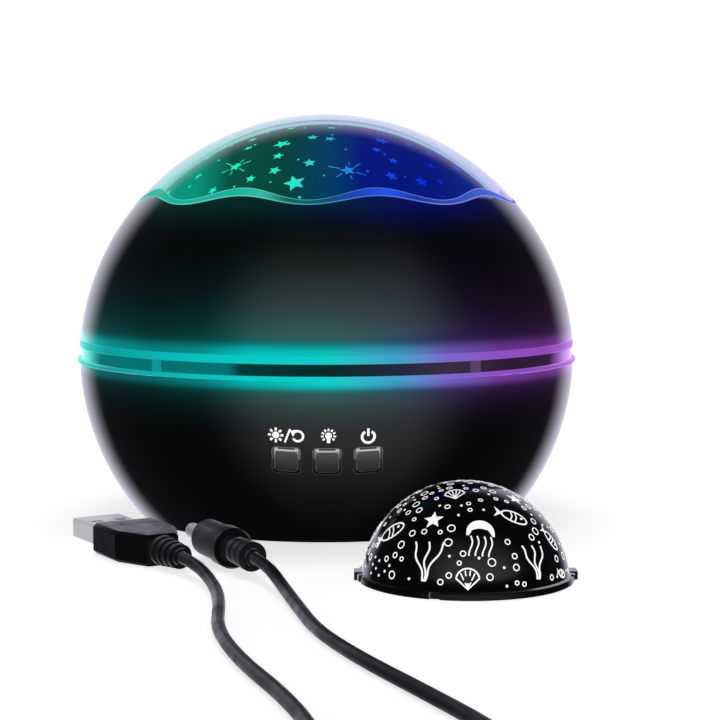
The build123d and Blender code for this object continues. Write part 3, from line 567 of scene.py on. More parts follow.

# %% [markdown]
# ## Black shells
# Two glossy mouldings make the ball. A solid ball would look the same when it is closed,
# but the cover lifts off, so each shell is a wall between two skins. Boolean cutters with
# rounded corners open the lower one for the buttons and the power inlet.


# %% Gloss black with painted light spill and crown glow
def shell_black_with_painted_glow(name, *bands):
    """Gloss black with bands of painted light: stops, strength, height, reach and power."""
    material = finish(name, (0.0008, 0.0008, 0.001), 0.06, bump=0.002)
    tree = material.node_tree
    total = None
    for stops, strength, height, reach, power in bands:
        fade = maths(tree, "MULTIPLY", fade_from(tree, height, reach, power), strength)
        band = scaled(tree, colour_over_x(tree, stops), fade)
        total = band if total is None else summed(tree, total, band)
    return glow(material, total)


# The shells' coloured bands are painted light: the waist ring's spill and a crown glow below
# the cap's edge.
PAINTED_CROWN_Z = 80.5
LOWER_BLACK = shell_black_with_painted_glow("lower_shell_black_painted_spill", (PAINTED_SPILL_BELOW, 0.8, RING_LOW, 1.85, 3),
                          (PAINTED_SPILL_BELOW, 0.22, RING_LOW, 4.6, 1.5))
UPPER_BLACK = shell_black_with_painted_glow("upper_shell_black_painted_glow", (PAINTED_SPILL_ABOVE, 0.59, RING_HIGH, 2.3, 3),
                          (PAINTED_SPILL_ABOVE, 0.28, RING_HIGH, 5.5, 1),
                          (PAINTED_CROWN_STOPS, 0.62, PAINTED_CROWN_Z, 5.0, 2))
print("shell finishes", LOWER_BLACK.name, UPPER_BLACK.name)

# %% Lower shell
BASE_Z, SHELL_WALL, COVER_WALL, JOINT_GAP = 0.8, 2.4, 2.0, 0.05
outer = skin_points(LOWER_BALL, 0, BASE_Z, RING_LOW - JOINT_GAP, 56)
inner = skin_points(LOWER_BALL, SHELL_WALL, BASE_Z, RING_LOW - JOINT_GAP, 20)
lower_shell = turned("lower_shell_skin", outer + inner[::-1], "base", "black_gloss",
                     LOWER_BLACK)
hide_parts("lower_shell")
print("lower shell before it is cut", len(lower_shell.data.polygons), "faces")

# %% Frame of the button panel
BUTTON_Z, BUTTON_PITCH, KEY_SIDE, WINDOW_SIDE = 21.3, 9.2, 5.4, 6.15
KEY_SHIFTS = (-BUTTON_PITCH, 0, BUTTON_PITCH)
PANEL_TILT = math.atan2(LOWER_BALL[0] - BUTTON_Z, skin_radius(LOWER_BALL, BUTTON_Z))
PANEL_OUT = Vector((0, -math.cos(PANEL_TILT), -math.sin(PANEL_TILT)))
PANEL_RIGHT = Vector((1, 0, 0))
PANEL_UP = PANEL_OUT.cross(PANEL_RIGHT)
PANEL_AT = Vector((0, 0, LOWER_BALL[0])) + PANEL_OUT * LOWER_BALL[1]


def on_panel(x, y, depth):
    """A place by its way right, up and out on the panel."""
    return PANEL_AT + PANEL_RIGHT * x + PANEL_UP * y + PANEL_OUT * depth


print("button panel tilts down", round(math.degrees(PANEL_TILT), 1), "degrees")


# %% Shapes that cut openings
def rounded_square(side, corner, steps=5):
    """A square outline with round corners, counter-clockwise."""
    places = []
    reach = side / 2 - corner
    for quarter, (x, y) in enumerate(((1, 1), (-1, 1), (-1, -1), (1, -1))):
        for step in range(steps + 1):
            turn = math.pi / 2 * (quarter + step / steps)
            places.append(polar(corner, turn, x * reach, y * reach))
    return places


def prism(outline, place, low, high):
    """A closed bar with an outline, placed by a function of x, y and depth."""
    count = len(outline)
    vertices = [place(x, y, depth) for depth in (low, high) for x, y in outline]
    faces = [tuple(range(count))[::-1], tuple(range(count, 2 * count))]
    faces += [(i, (i + 1) % count, count + (i + 1) % count, count + i)
              for i in range(count)]
    return vertices, faces


def cut(piece, cutters):
    """Takes closed shapes out of a piece."""
    mesh = mesh_of("cutter", *together(cutters))
    tidy_mesh(mesh)
    cutter = added("cutter", mesh)
    step = piece.modifiers.new("cut", "BOOLEAN")
    step.operation = "DIFFERENCE"
    step.solver = "EXACT"
    step.object = cutter
    depsgraph = bpy.context.evaluated_depsgraph_get()
    result = bpy.data.meshes.new_from_object(piece.evaluated_get(depsgraph))
    piece.modifiers.clear()
    piece.data = result
    bpy.data.objects.remove(cutter)
    smoothed(result)


# %% Openings of the lower shell
JACK_Z, JACK_R, JACK_SIDES, WINDOW_CORNER = 14.0, 5, 48, 0.9
windows = [
    prism(rounded_square(WINDOW_SIDE, WINDOW_CORNER),
          lambda x, y, depth, shift=shift: on_panel(x + shift, y, depth), -5, 5)
    for shift in KEY_SHIFTS
]
inlet = prism([polar(JACK_R, 2 * math.pi * side / JACK_SIDES) for side in range(JACK_SIDES)],
              lambda x, y, depth: Vector((x, depth, JACK_Z + y)), 50, 60)
cut(lower_shell, windows + [inlet])
print("lower shell", len(lower_shell.data.polygons), "faces")


# %% Well behind the power inlet
def about_jack(section):
    """Turns a section of radius and Y about the inlet's axis."""
    vertices, faces = swept(lambda turn: section, JACK_SIDES)
    return [(x, z, JACK_Z + y) for x, y, z in vertices], faces


inlet_well = new_piece("power_inlet_well", *about_jack([
    (2.1, 50.6), (6.6, 50.6), (6.6, 54.4), (5.02, 54.4), (5.02, 53.0), (2.1, 53.0),
]), "base", "black_gloss", MATTE_BLACK)
print("power inlet well", len(inlet_well.data.polygons), "faces")

# %% Upper shell with its wavy edge
WAVE_Z, WAVE_RISE, WAVE_COLUMNS = 79.8, 1.0, 288
COVER_FOOT = RING_HIGH + 0.06


def cover_section(turn):
    """Outer skin, rounded lip and inner skin at an azimuth."""
    edge = wave_height(turn, WAVE_Z, WAVE_RISE)
    outside = skin_points(UPPER_BALL, 0, COVER_FOOT, edge - 0.12, 44)
    lip = [(skin_radius(UPPER_BALL, edge, 0.18), edge)]
    inside = skin_points(UPPER_BALL, COVER_WALL, COVER_FOOT, edge - 0.05, 16)
    return outside + lip + inside[::-1]


upper_shell = new_piece("upper_shell_skin", *swept(cover_section, WAVE_COLUMNS), "cover",
                        "black_gloss", UPPER_BLACK)
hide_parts("upper_shell")
print("upper shell", len(upper_shell.data.polygons), "faces")

# %% [markdown]
# ## Clear cap
# Polished clear plastic over the star dome, as a real wall with two skins. It lies so near
# the dome that true bending of light would only double the stars, so it hardly bends it.
# The lamps' colours are painted into its outer skin's tint over its width, and its gloss is a
# coat on the outer skin. Its edge meets the cover's wave in a frosted band with painted glow
# and two thin lines of painted glow.


# %% Clear plastic
def clear(name, colour, roughness, ior=1.45):
    """Plastic that light goes through."""
    material = finish(name, colour, roughness, cloud=0.02, bump=0.0)
    shader = material.node_tree.nodes["Principled BSDF"]
    shader.inputs["Transmission Weight"].default_value = 1.0
    shader.inputs["IOR"].default_value = ior
    return material


BAND_GLOW_STOPS = [
    (-38, (0.0, 0.4, 0.29)), (-20, (0.0, 0.42, 0.3)), (-15, (0.03, 0.46, 0.36)),
    (-9.5, (0.0, 0.11, 0.08)), (1, (0.0, 0.05, 0.14)), (7.5, (0.0, 0.035, 0.5)),
    (14, (0.005, 0.075, 0.85)), (21, (0.0, 0.02, 0.3)), (35, (0.03, 0.085, 0.56)),
    (50, (0.03, 0.1, 0.6)),
]
CAP_TINT, CAP_BEND = (0.75, 0.95, 0.97), 1.03
PAINTED_CAP_GLOW_STOPS = [
    (-45, (0.06, 0.5, 0.42)), (-22, (0.11, 0.47, 0.42)), (-5, (0.22, 0.42, 0.52)),
    (12, (0.23, 0.36, 0.54)), (45, (0.26, 0.31, 0.58)),
]
CLEAR = clear("clear_polycarbonate", CAP_TINT, 0.0, ior=CAP_BEND)
CLEAR_OUTSIDE = clear("polished_polycarbonate", CAP_TINT, 0.0, ior=CAP_BEND)
# The outer skin's tint over X is painted lamp light.
polish = CLEAR_OUTSIDE.node_tree.nodes["Principled BSDF"]
CLEAR_OUTSIDE.node_tree.links.new(colour_over_x(CLEAR_OUTSIDE.node_tree, PAINTED_CAP_GLOW_STOPS),
                                  polish.inputs["Base Color"])
polish.inputs["Coat Weight"].default_value = 1.0
polish.inputs["Coat Roughness"].default_value = 0.03
# The frosted band glows with painted lamp light.
FROSTED = glow_over_x(
    finish("frosted_band_painted_glow", (0.02, 0.03, 0.035), 0.4, cloud=0.2, shine=0.1), BAND_GLOW_STOPS)
print("cap finishes", CLEAR.name, CLEAR_OUTSIDE.name, FROSTED.name)

# %% Cap with its wavy frosted skirt
CAP_TOP, CAP_INSIDE_TOP, CAP_ROWS = 101.6, 99.8, 40
BAND_Z, BAND_RISE = 81.25, 1.4
BAND_FACE, OUTSIDE_FACE, SKIN_DEPTH = 1, 2, 0.3


def cap_section(turn):
    """Frosted skirt, clear outer skin and inner skin at an azimuth."""
    edge = wave_height(turn, WAVE_Z, WAVE_RISE) + 0.04
    band = wave_height(turn, BAND_Z, BAND_RISE)
    skirt = skin_points(UPPER_BALL, 0.06, edge, band, 4)
    outside = skin_points(UPPER_BALL, 0, band + 0.1, CAP_TOP, CAP_ROWS)
    inside = skin_points(CAP_INSIDE_BALL, 0, edge, CAP_INSIDE_TOP, CAP_ROWS)
    return (skirt + outside[:-1] + [(0, CAP_TOP), (0, CAP_INSIDE_TOP)]
            + inside[:-1][::-1])


clear_cap = new_piece("clear_cap_skin", *swept(cap_section, WAVE_COLUMNS), "cover",
                      "clear_plastic", CLEAR, FROSTED, CLEAR_OUTSIDE)
for face in clear_cap.data.polygons:
    middle = face.center / MM
    if (middle - Vector((0, 0, UPPER_BALL[0]))).length > UPPER_BALL[1] - SKIN_DEPTH:
        band = wave_height(math.atan2(middle.x, -middle.y), BAND_Z, BAND_RISE)
        face.material_index = BAND_FACE if middle.z < band else OUTSIDE_FACE
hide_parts("clear_cap")
print("clear cap", len(clear_cap.data.polygons), "faces")

# %% [markdown]
# ## Waist ring
# On the real lamp this is one clear moulding: two glowing lips with a dark window between
# them, and five upright ribs that shine through the window. Painted zones on one mesh
# would blur where they meet, so each zone is a turned piece of its own.

# %% Waist ring finishes
WINDOW_STOPS = [
    (-58, (0.0, 0.6, 0.55)), (-54, (0.0, 0.17, 0.17)), (-40, (0.0, 0.16, 0.16)),
    (-22.6, (0.0, 0.17, 0.165)), (-19.5, (0.0, 0.04, 0.036)), (0, (0.0, 0.022, 0.02)),
    (16, (0.015, 0.02, 0.045)), (27, (0.04, 0.024, 0.055)), (43, (0.025, 0.008, 0.03)),
    (53, (0.03, 0.01, 0.04)), (57.5, (0.4, 0.13, 0.65)),
]
RIB_STOPS = [
    (-62, (0.0, 0.5, 0.48)), (-40, (0.0, 0.31, 0.31)), (0, (0.0, 0.08, 0.08)),
    (28, (0.07, 0.045, 0.1)), (62, (0.2, 0.08, 0.3)),
]
LIT = glow_over_x(
    finish("lit_light_guide", (0.004, 0.01, 0.01), 0.3, cloud=0.3, shine=0.05), WAIST_STOPS)
RIB_LIT = glow_over_x(
    finish("lit_rib", (0.004, 0.008, 0.008), 0.3, cloud=0.3, shine=0.1), RIB_STOPS)
SMOKED = glow_over_x(
    finish("window_smoke", (0.002, 0.003, 0.004), 0.1, bump=0.01, shine=0.1), WINDOW_STOPS)
print("ring finishes", LIT.name, RIB_LIT.name, SMOKED.name)

# %% Lips and window
LIP_R, RING_BACK, RING_COLUMNS = 63.0, 59.0, 256
RING_PARTS = (
    ("waist_ring_upper_lip", LIT, [
        (RING_BACK, WINDOW_HIGH), (62.0, WINDOW_HIGH), (62.28, WINDOW_HIGH + 0.08),
        (62.42, WINDOW_HIGH + 0.3), (62.4, 44.3), (62.32, RING_HIGH - 0.2),
        (62.15, RING_HIGH), (RING_BACK, RING_HIGH)]),
    ("waist_ring_lower_lip", LIT, [
        (RING_BACK, RING_LOW), (62.6, RING_LOW), (62.9, RING_LOW + 0.12),
        (LIP_R, RING_LOW + 0.35), (LIP_R, WINDOW_LOW - 0.3), (62.9, WINDOW_LOW - 0.1),
        (62.6, WINDOW_LOW), (RING_BACK, WINDOW_LOW)]),
    ("waist_ring_window", SMOKED, [
        (60.2, WINDOW_LOW), (62.0, WINDOW_LOW), (62.0, WINDOW_HIGH), (60.2, WINDOW_HIGH)]),
)
ring_pieces = [turned(name, section, "base", "light_guide", material, RING_COLUMNS)
               for name, material, section in RING_PARTS]
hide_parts("light_ring")
print("waist ring", sum(len(piece.data.polygons) for piece in ring_pieces), "faces")

# %% [markdown]
# ## Geometry Nodes
# Ribs, wave lines and scattered stars repeat. Loops could place copies of them, but a node
# tree shapes one instance, places it by a rule and keeps its sizes as named inputs. The
# helper below builds such a tree, feeds its inputs by identifier and turns the result into
# a plain mesh.


# %% Build a node tree and keep its result
class Recipe:
    """A geometry node tree with named inputs."""

    SHARP = 35

    def __init__(self, name, **sizes):
        self.tree = bpy.data.node_groups.new(name, "GeometryNodeTree")
        self.sizes = sizes
        face = self.tree.interface
        face.new_socket("Geometry", in_out="INPUT", socket_type="NodeSocketGeometry")
        for label, value in sizes.items():
            kind = "NodeSocketInt" if isinstance(value, int) else "NodeSocketFloat"
            if isinstance(value, bpy.types.Material):
                kind = "NodeSocketMaterial"
            face.new_socket(label, in_out="INPUT", socket_type=kind)
        face.new_socket("Geometry", in_out="OUTPUT", socket_type="NodeSocketGeometry")
        self.inputs = self.tree.nodes.new("NodeGroupInput").outputs
        self.end = self.tree.nodes.new("NodeGroupOutput").inputs[0]

    def node(self, kind, settings=None, **links):
        """Adds a node. Links name a socket, or give n and its number, and its value."""
        made = self.tree.nodes.new(kind)
        for label, value in (settings or {}).items():
            setattr(made, label, value)
        for label, value in links.items():
            numbered = label[0] == "n" and label[1:].isdigit()
            key = int(label[1:]) if numbered else label.replace("_", " ")
            feed(self.tree, made.inputs[key], value)
        return made

    def first(self, kind, settings=None, **links):
        """Adds a node and gives its first output."""
        return self.node(kind, settings, **links).outputs[0]

    def vector(self, operation, **links):
        """The result of a Vector Math node."""
        return self.first("ShaderNodeVectorMath", {"operation": operation}, **links)

    def finish(self, geometry, name, body, slot):
        """Paints the whole and keeps it as a piece with a plain mesh."""
        whole = self.first("GeometryNodeRealizeInstances", Geometry=geometry)
        painted = self.first("GeometryNodeSetMaterial", Geometry=whole,
                             Material=self.inputs["Material"])
        self.tree.links.new(painted, self.end)
        piece = added(name, bpy.data.meshes.new(name))
        modifier = piece.modifiers.new("recipe", "NODES")
        modifier.node_group = self.tree
        for socket in self.tree.interface.items_tree:
            if socket.in_out == "INPUT" and socket.name in self.sizes:
                modifier[socket.identifier] = self.sizes[socket.name]
        depsgraph = bpy.context.evaluated_depsgraph_get()
        mesh = bpy.data.meshes.new_from_object(piece.evaluated_get(depsgraph))
        piece.modifiers.clear()
        piece.data = mesh
        mesh.name = name
        smoothed(mesh, self.SHARP)
        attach(piece, body)
        print(name, len(mesh.polygons), "faces")
        return piece


# %% Ribs in the waist ring's window
ribs = Recipe("ring_ribs", Count=5, Radius=61.25 * MM, Width=2.8 * MM, Height=3.0 * MM,
              Depth=1.8 * MM, Start=math.radians(-39 - 90), Middle=42.05 * MM,
              Material=RIB_LIT)
take = ribs.inputs
bar_size = ribs.first("ShaderNodeCombineXYZ", X=take["Depth"], Y=take["Width"],
                      Z=take["Height"])
bar = ribs.first("GeometryNodeMeshCube", Size=bar_size)
ring_line = ribs.first("GeometryNodeMeshCircle", Vertices=take["Count"],
                       Radius=take["Radius"])
lift = ribs.first("ShaderNodeCombineXYZ", Z=take["Middle"])
turn = ribs.first("ShaderNodeCombineXYZ", Z=take["Start"])
ring_line = ribs.first("GeometryNodeTransform", Geometry=ring_line, Translation=lift,
                       Rotation=turn)
spot = ribs.first("GeometryNodeInputPosition")
flat = ribs.vector("MULTIPLY", n0=spot, n1=(1, 1, 0))
facing = ribs.first("FunctionNodeAlignRotationToVector", {"axis": "X"}, Vector=flat)
placed = ribs.first("GeometryNodeInstanceOnPoints", Points=ring_line, Instance=bar,
                    Rotation=facing)
ring_ribs = ribs.finish(placed, "waist_ring_ribs", "base", "light_guide")

# %% Painted glow of the bright lines
EDGE_GLOW_STOPS = [
    (-50, (0.08, 0.6, 0.5)), (-15, (0.1, 0.68, 0.58)), (-6, (0.02, 0.42, 0.4)),
    (2, (0.03, 0.25, 0.5)), (12, (0.08, 0.15, 0.7)), (30, (0.2, 0.22, 0.85)),
    (50, (0.4, 0.42, 0.9)),
]
EDGE_PAINTED_GLOW = glow_over_x(
    finish("wave_line_painted_glow", (0.02, 0.03, 0.03), 0.3, cloud=0.3, shine=0.1), EDGE_GLOW_STOPS)
print("glow of the wave lines", len(EDGE_GLOW_STOPS), "colours")

# %% Bright lines along the wave, as beads with painted glow
LINE_POINTS, LINE_SIDES = 576, 8


def wave_line(name, middle, rise, radius, thickness):
    """A fine bead that follows the wave round the cap, with a painted glow."""
    line = Recipe(name, Points=LINE_POINTS, Radius=radius * MM, Middle=middle * MM,
                  Rise=rise * MM, Waves=float(WAVES), Crest=math.radians(WAVE_CREST),
                  Thickness=thickness * MM, Ball=UPPER_BALL[1] * MM,
                  Centre=UPPER_BALL[0] * MM, Material=EDGE_PAINTED_GLOW)
    take = line.inputs
    ring = line.first("GeometryNodeCurvePrimitiveCircle", Resolution=take["Points"],
                      Radius=take["Radius"])

    def sum_of(operation, *values):
        return maths(line.tree, operation, *values)

    place = line.first("GeometryNodeInputPosition")
    axes = line.node("ShaderNodeSeparateXYZ", Vector=place).outputs
    azimuth = sum_of("ARCTAN2", axes[0], sum_of("MULTIPLY", axes[1], -1.0))
    phase = sum_of("MULTIPLY", sum_of("SUBTRACT", azimuth, take["Crest"]), take["Waves"])
    height = sum_of("ADD", sum_of("MULTIPLY", sum_of("COSINE", phase), take["Rise"]),
                    take["Middle"])
    above = sum_of("SUBTRACT", height, take["Centre"])
    out = sum_of("SQRT", sum_of("SUBTRACT", sum_of("MULTIPLY", take["Ball"], take["Ball"]),
                                sum_of("MULTIPLY", above, above)))
    x = sum_of("MULTIPLY", sum_of("SINE", azimuth), out)
    y = sum_of("MULTIPLY", sum_of("COSINE", azimuth), sum_of("MULTIPLY", out, -1.0))
    target = line.first("ShaderNodeCombineXYZ", X=x, Y=y, Z=height)
    ring = line.first("GeometryNodeSetPosition", Geometry=ring, Position=target)
    bead = line.first("GeometryNodeCurvePrimitiveCircle", Resolution=LINE_SIDES,
                      Radius=take["Thickness"])
    tube = line.first("GeometryNodeCurveToMesh", Curve=ring, Profile_Curve=bead)
    line.finish(tube, name, "cover", "clear_plastic")


wave_line("cap_lower_line", WAVE_Z + 0.1, WAVE_RISE, 48, 0.11)
wave_line("cap_upper_line", BAND_Z, BAND_RISE, 46, 0.07)

# %% [markdown]
# ## Drawing on a ball
# Prints are thin films. A picture would need unwrapping and blur close up, so each print
# is drawn as shapes. A flat drawing is wrapped onto the ball round a place, so that it
# keeps its size, and gets a closed body a few hundredths of a millimetre thick.


# %% Wrap flat drawings onto a ball
class BallPrint:
    """Collects flat shapes and wraps them onto a ball of a radius about a centre."""

    def __init__(self, centre, radius, thickness=0.05):
        self.centre, self.radius, self.thickness = Vector(centre), radius, thickness
        self.vertices, self.faces = [], []

    def aim(self, azimuth, elevation, spin=0.0):
        """Chooses where the next shapes go. Angles are in degrees."""
        a, e, s = (math.radians(v) for v in (azimuth, elevation, spin))
        self.out = Vector((math.sin(a) * math.cos(e), -math.cos(a) * math.cos(e),
                           math.sin(e)))
        side = Vector((math.cos(a), math.sin(a), 0))
        up = self.out.cross(side)
        self.side = side * math.cos(s) + up * math.sin(s)
        self.up = up * math.cos(s) - side * math.sin(s)
        return self

    def wrap(self, x, y, height):
        """A flat place laid onto the ball at a height over it."""
        reach = math.hypot(x, y)
        if reach < 1e-9:
            return self.centre + self.out * (self.radius + height)
        angle = reach / self.radius
        sideways = (self.side * x + self.up * y) / reach
        way = self.out * math.cos(angle) + sideways * math.sin(angle)
        return self.centre + way * (self.radius + height)

    def solid(self, left, right, closed):
        """Two rails of points become a flat band with a thickness."""
        count = len(left)
        start = len(self.vertices)
        for rail in (left, right):
            for height in (0.0, self.thickness):
                self.vertices += [self.wrap(x, y, height) for x, y in rail]
        base, top, far_base, far_top = (start + count * k for k in range(4))
        for i in range(count if closed else count - 1):
            j = (i + 1) % count
            self.faces += [
                (top + i, top + j, far_top + j, far_top + i),
                (base + j, base + i, far_base + i, far_base + j),
                (base + i, base + j, top + j, top + i),
                (far_base + j, far_base + i, far_top + i, far_top + j),
            ]
        if not closed:
            for i, flip in ((0, 1), (count - 1, 0)):
                quad = (base + i, top + i, far_top + i, far_base + i)
                self.faces.append(quad[::-1] if flip else quad)

    def line(self, points, width, closed=False):
        """A stroke of even width through points."""
        count = len(points)
        left, right = [], []
        for i, (x, y) in enumerate(points):
            before = points[(i - 1) % count] if closed or i else points[i]
            after = points[(i + 1) % count] if closed or i < count - 1 else points[i]
            dx, dy = after[0] - before[0], after[1] - before[1]
            size = math.hypot(dx, dy) or 1.0
            left.append((x - dy / size * width / 2, y + dx / size * width / 2))
            right.append((x + dy / size * width / 2, y - dx / size * width / 2))
        self.solid(left, right, closed)

    def fill(self, outline, middle=None):
        """A filled shape, as a fan round its middle."""
        if middle is None:
            middle = tuple(sum(p[k] for p in outline) / len(outline) for k in (0, 1))
        start = len(self.vertices)
        count = len(outline)
        for height in (0.0, self.thickness):
            self.vertices += [self.wrap(x, y, height) for x, y in outline]
            self.vertices.append(self.wrap(*middle, height))
        top = start + count + 1
        for i in range(count):
            j = (i + 1) % count
            self.faces += [
                (top + i, top + j, top + count), (start + j, start + i, start + count),
                (start + i, start + j, top + j, top + i),
            ]

    def piece(self, name, body, slot, material):
        return new_piece(name, self.vertices, self.faces, body, slot, material)


def circle(radius, count=24, x=0.0, y=0.0, start=0.0, end=2 * math.pi):
    """Points round a circle or along a part of one."""
    whole = abs(end - start) > 2 * math.pi - 1e-6
    steps = count if whole else count - 1
    return [polar(radius, start + (end - start) * i / steps, x, y) for i in range(count)]


def star(points, outer, inner):
    """The outline of a star that points up."""
    return [((inner if i % 2 else outer) * math.sin(math.pi * i / points),
             (inner if i % 2 else outer) * math.cos(math.pi * i / points))
            for i in range(2 * points)]


# %% [markdown]
# ## Button symbols
# Thin white prints above the three keys: a sun and a turning arrow for the two modes of
# the first key, a bulb with rays, and the usual power sign. No font has all four in one
# style, so they are drawn from strokes, discs and fans.

# %% Symbols above the buttons
# The white ink also glows evenly, a painted brightness that no lamp gives it.
SELF_LIT_WHITE_INK = even_glow(finish("white_ink_painted_glow", (0.85, 0.85, 0.85), 0.5, cloud=0.04), 0.6)
ICON_Y, SUN_X, ARROW_X, BULB_X, POWER_X = 6.1, -11.6, -6.6, 0.3, 9.25
BULB_Y = ICON_Y + 0.25
symbols = BallPrint((0, 0, LOWER_BALL[0]), LOWER_BALL[1] + 0.005, 0.03)
symbols.aim(0, -math.degrees(PANEL_TILT))


def burst(x, y, angles, reaches, width):
    """Short strokes that point away from a middle."""
    for angle in angles:
        symbols.line([polar(reach, angle, x, y) for reach in reaches], width)


symbols.fill(circle(0.8, 20, SUN_X, ICON_Y))
burst(SUN_X, ICON_Y, [math.pi * ray / 4 for ray in range(8)], (1.1, 1.75), 0.5)
symbols.line([(-9.55, ICON_Y - 1.65), (-8.35, ICON_Y + 1.6)], 0.4)
symbols.line(circle(1.2, 26, ARROW_X, ICON_Y, math.radians(-150), math.radians(125)), 0.5)
tip_x, tip_y = polar(1.15, math.radians(138), ARROW_X, ICON_Y)
symbols.fill([(tip_x - 0.85, tip_y + 0.45), (tip_x + 0.55, tip_y + 0.75),
              (tip_x - 0.2, tip_y - 0.95)])
symbols.fill(circle(0.74, 20, BULB_X, BULB_Y))
symbols.fill([(BULB_X - 0.4, ICON_Y - 0.35), (BULB_X - 0.35, ICON_Y - 1.5),
              (BULB_X + 0.35, ICON_Y - 1.5), (BULB_X + 0.4, ICON_Y - 0.35)])
burst(BULB_X, BULB_Y, [math.radians(-40 + 260 * ray / 8) for ray in range(9)],
      (1.1, 1.68), 0.38)
symbols.line(circle(1.42, 30, POWER_X, ICON_Y - 0.3, math.radians(122), math.radians(418)),
             0.56)
symbols.line([(POWER_X, ICON_Y - 0.1), (POWER_X, ICON_Y + 1.65)], 0.52)
symbols.piece("button_symbols", "base", "black_gloss", SELF_LIT_WHITE_INK)
print("button symbols", len(symbols.faces), "faces")

# %% [markdown]
# ## Keys
# Each key is a moulded rounded square that follows the ball and stands a little proud. A
# bevelled cube would have a flat top, and gloss shows that at once, so its rows of points
# lie on a ball. Its soft edge is painted a lighter grey, and a painted highlight fades down
# from the key's top.

# %% Finishes of the keys, with painted highlights
KEY_PROUD, KEY_DEPTH = 0.35, 4.2
PANEL_FRAME = Matrix((PANEL_RIGHT, PANEL_UP, PANEL_OUT))
KEY_TOP_Z, KEY_HIGHLIGHT_WHITE = 24.0, (0.97, 0.98, 1.0)


def key_finish_painted_highlight(name, colour, roughness, sheen, reach, **rest):
    """A key's black, with a painted highlight: white emission that fades down from the key's
    top edge.
    """
    material = finish(name, colour, roughness, **rest)
    tree = material.node_tree
    fade = maths(tree, "MULTIPLY", fade_from(tree, KEY_TOP_Z, reach, 2), sheen)
    white = colour_over_x(tree, [(-20, KEY_HIGHLIGHT_WHITE), (20, KEY_HIGHLIGHT_WHITE)])
    return glow(material, scaled(tree, white, fade))


# Painted highlights: each key's face and edge glow white from the top down, and the edge is
# painted a lighter grey.
KEY_BLACK = key_finish_painted_highlight("key_black_painted_highlight", (0.008, 0.008, 0.009), 0.12, 0.05, 3.0, bump=0.01)
KEY_EDGE = key_finish_painted_highlight("key_edge_painted_highlight", (0.11, 0.11, 0.115), 0.3, 0.5, 0.8, cloud=0.2)
# The window beads get the same painted highlight, over a lighter grey.
WINDOW_EDGE = key_finish_painted_highlight("window_edge_painted_highlight", (0.06, 0.06, 0.065), 0.3, 0.16, 1.4, cloud=0.2)
print("key finishes", KEY_BLACK.name, KEY_EDGE.name, WINDOW_EDGE.name)

# %% Three keys
KEY_CORNER, KEY_EDGE_FACE = 0.8, 1
EDGE_FROM, EDGE_TO = KEY_SIDE / 2 - 0.26, KEY_SIDE / 2 - 0.01
KEY_ROWS = ((0, 0.36), (0.04, 0.16), (0.12, 0.05), (0.24, 0.0), (0.7, 0.0), (1.4, 0.0),
            (2.2, 0.0))


def key_height(x, y, proud):
    """Depth of the proud ball surface over the panel plane."""
    return math.sqrt((LOWER_BALL[1] + proud) ** 2 - x * x - y * y) - LOWER_BALL[1]


def key(kind, shift):
    """A foot row, and rows that close in over the top by an inset and a drop."""
    rows = [(KEY_SIDE, KEY_CORNER, None)]
    for inset, drop in KEY_ROWS:
        rows.append((KEY_SIDE - 2 * inset, max(0.12, KEY_CORNER - inset), drop))
    vertices, faces = [], []
    count = len(rounded_square(1, 0.1))
    for side, corner, drop in rows:
        for x, y in rounded_square(side, corner):
            depth = -KEY_DEPTH if drop is None else key_height(x + shift, y, KEY_PROUD) - drop
            vertices.append(on_panel(x + shift, y, depth))
    vertices.append(on_panel(shift, 0, key_height(shift, 0, KEY_PROUD)))
    for row in range(len(rows) - 1):
        for i in range(count):
            j = (i + 1) % count
            faces.append((row * count + i, row * count + j, (row + 1) * count + j,
                          (row + 1) * count + i))
    last = (len(rows) - 1) * count
    faces += [(last + i, last + (i + 1) % count, len(vertices) - 1) for i in range(count)]
    faces.append(tuple(range(count))[::-1])
    piece = new_piece(kind + "_key_cap", vertices, faces, kind + "_key", "black_gloss",
                      KEY_BLACK, KEY_EDGE)
    for face in piece.data.polygons:
        middle = PANEL_FRAME @ (face.center / MM - PANEL_AT)
        reach = max(abs(middle.x - shift), abs(middle.y))
        if EDGE_FROM < reach < EDGE_TO:
            face.material_index = KEY_EDGE_FACE
    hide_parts(kind + "_button")
    print(piece.name, len(piece.data.polygons), "faces")


for kind, shift in zip(("rotate", "lamp", "power"), KEY_SHIFTS):
    key(kind, shift)

# %% Fine bead round each key's window
BEAD_R, BEAD_SIDES, BEAD_AWAY = 0.08, 8, 0.3


def window_bead(shift):
    """A thin round bead that stands half out of the shell along a window's edge."""
    vertices, faces = [], []
    outline = rounded_square(WINDOW_SIDE + BEAD_AWAY, 1.0)
    for i, (x, y) in enumerate(outline):
        before, after = outline[i - 1], outline[(i + 1) % len(outline)]
        way = Vector((after[0] - before[0], after[1] - before[1])).normalized()
        for side in range(BEAD_SIDES):
            turn = 2 * math.pi * side / BEAD_SIDES
            off = BEAD_R * math.cos(turn)
            px, py = x + shift + way.y * off, y - way.x * off
            vertices.append(on_panel(px, py, key_height(px, py, 0) + BEAD_R * math.sin(turn)))
    for i in range(len(outline)):
        here, there = i * BEAD_SIDES, (i + 1) % len(outline) * BEAD_SIDES
        for side in range(BEAD_SIDES):
            after = (side + 1) % BEAD_SIDES
            faces.append((here + side, here + after, there + after, there + side))
    return vertices, faces


# The beads carry the painted highlight of the window edges.
beads = new_piece("window_beads", *together([window_bead(shift) for shift in KEY_SHIFTS]),
                  "base", "black_gloss", WINDOW_EDGE)
print("window beads", len(beads.data.polygons), "faces")

# %% [markdown]
# ## Star dome
# A dark tinted dome under the clear cap. Stars and dots are clear places in its print, so
# they shine in the lamp's colour. Light through real holes would need a long render, so
# both the film and its stars glow by themselves, each with its own colours over X.

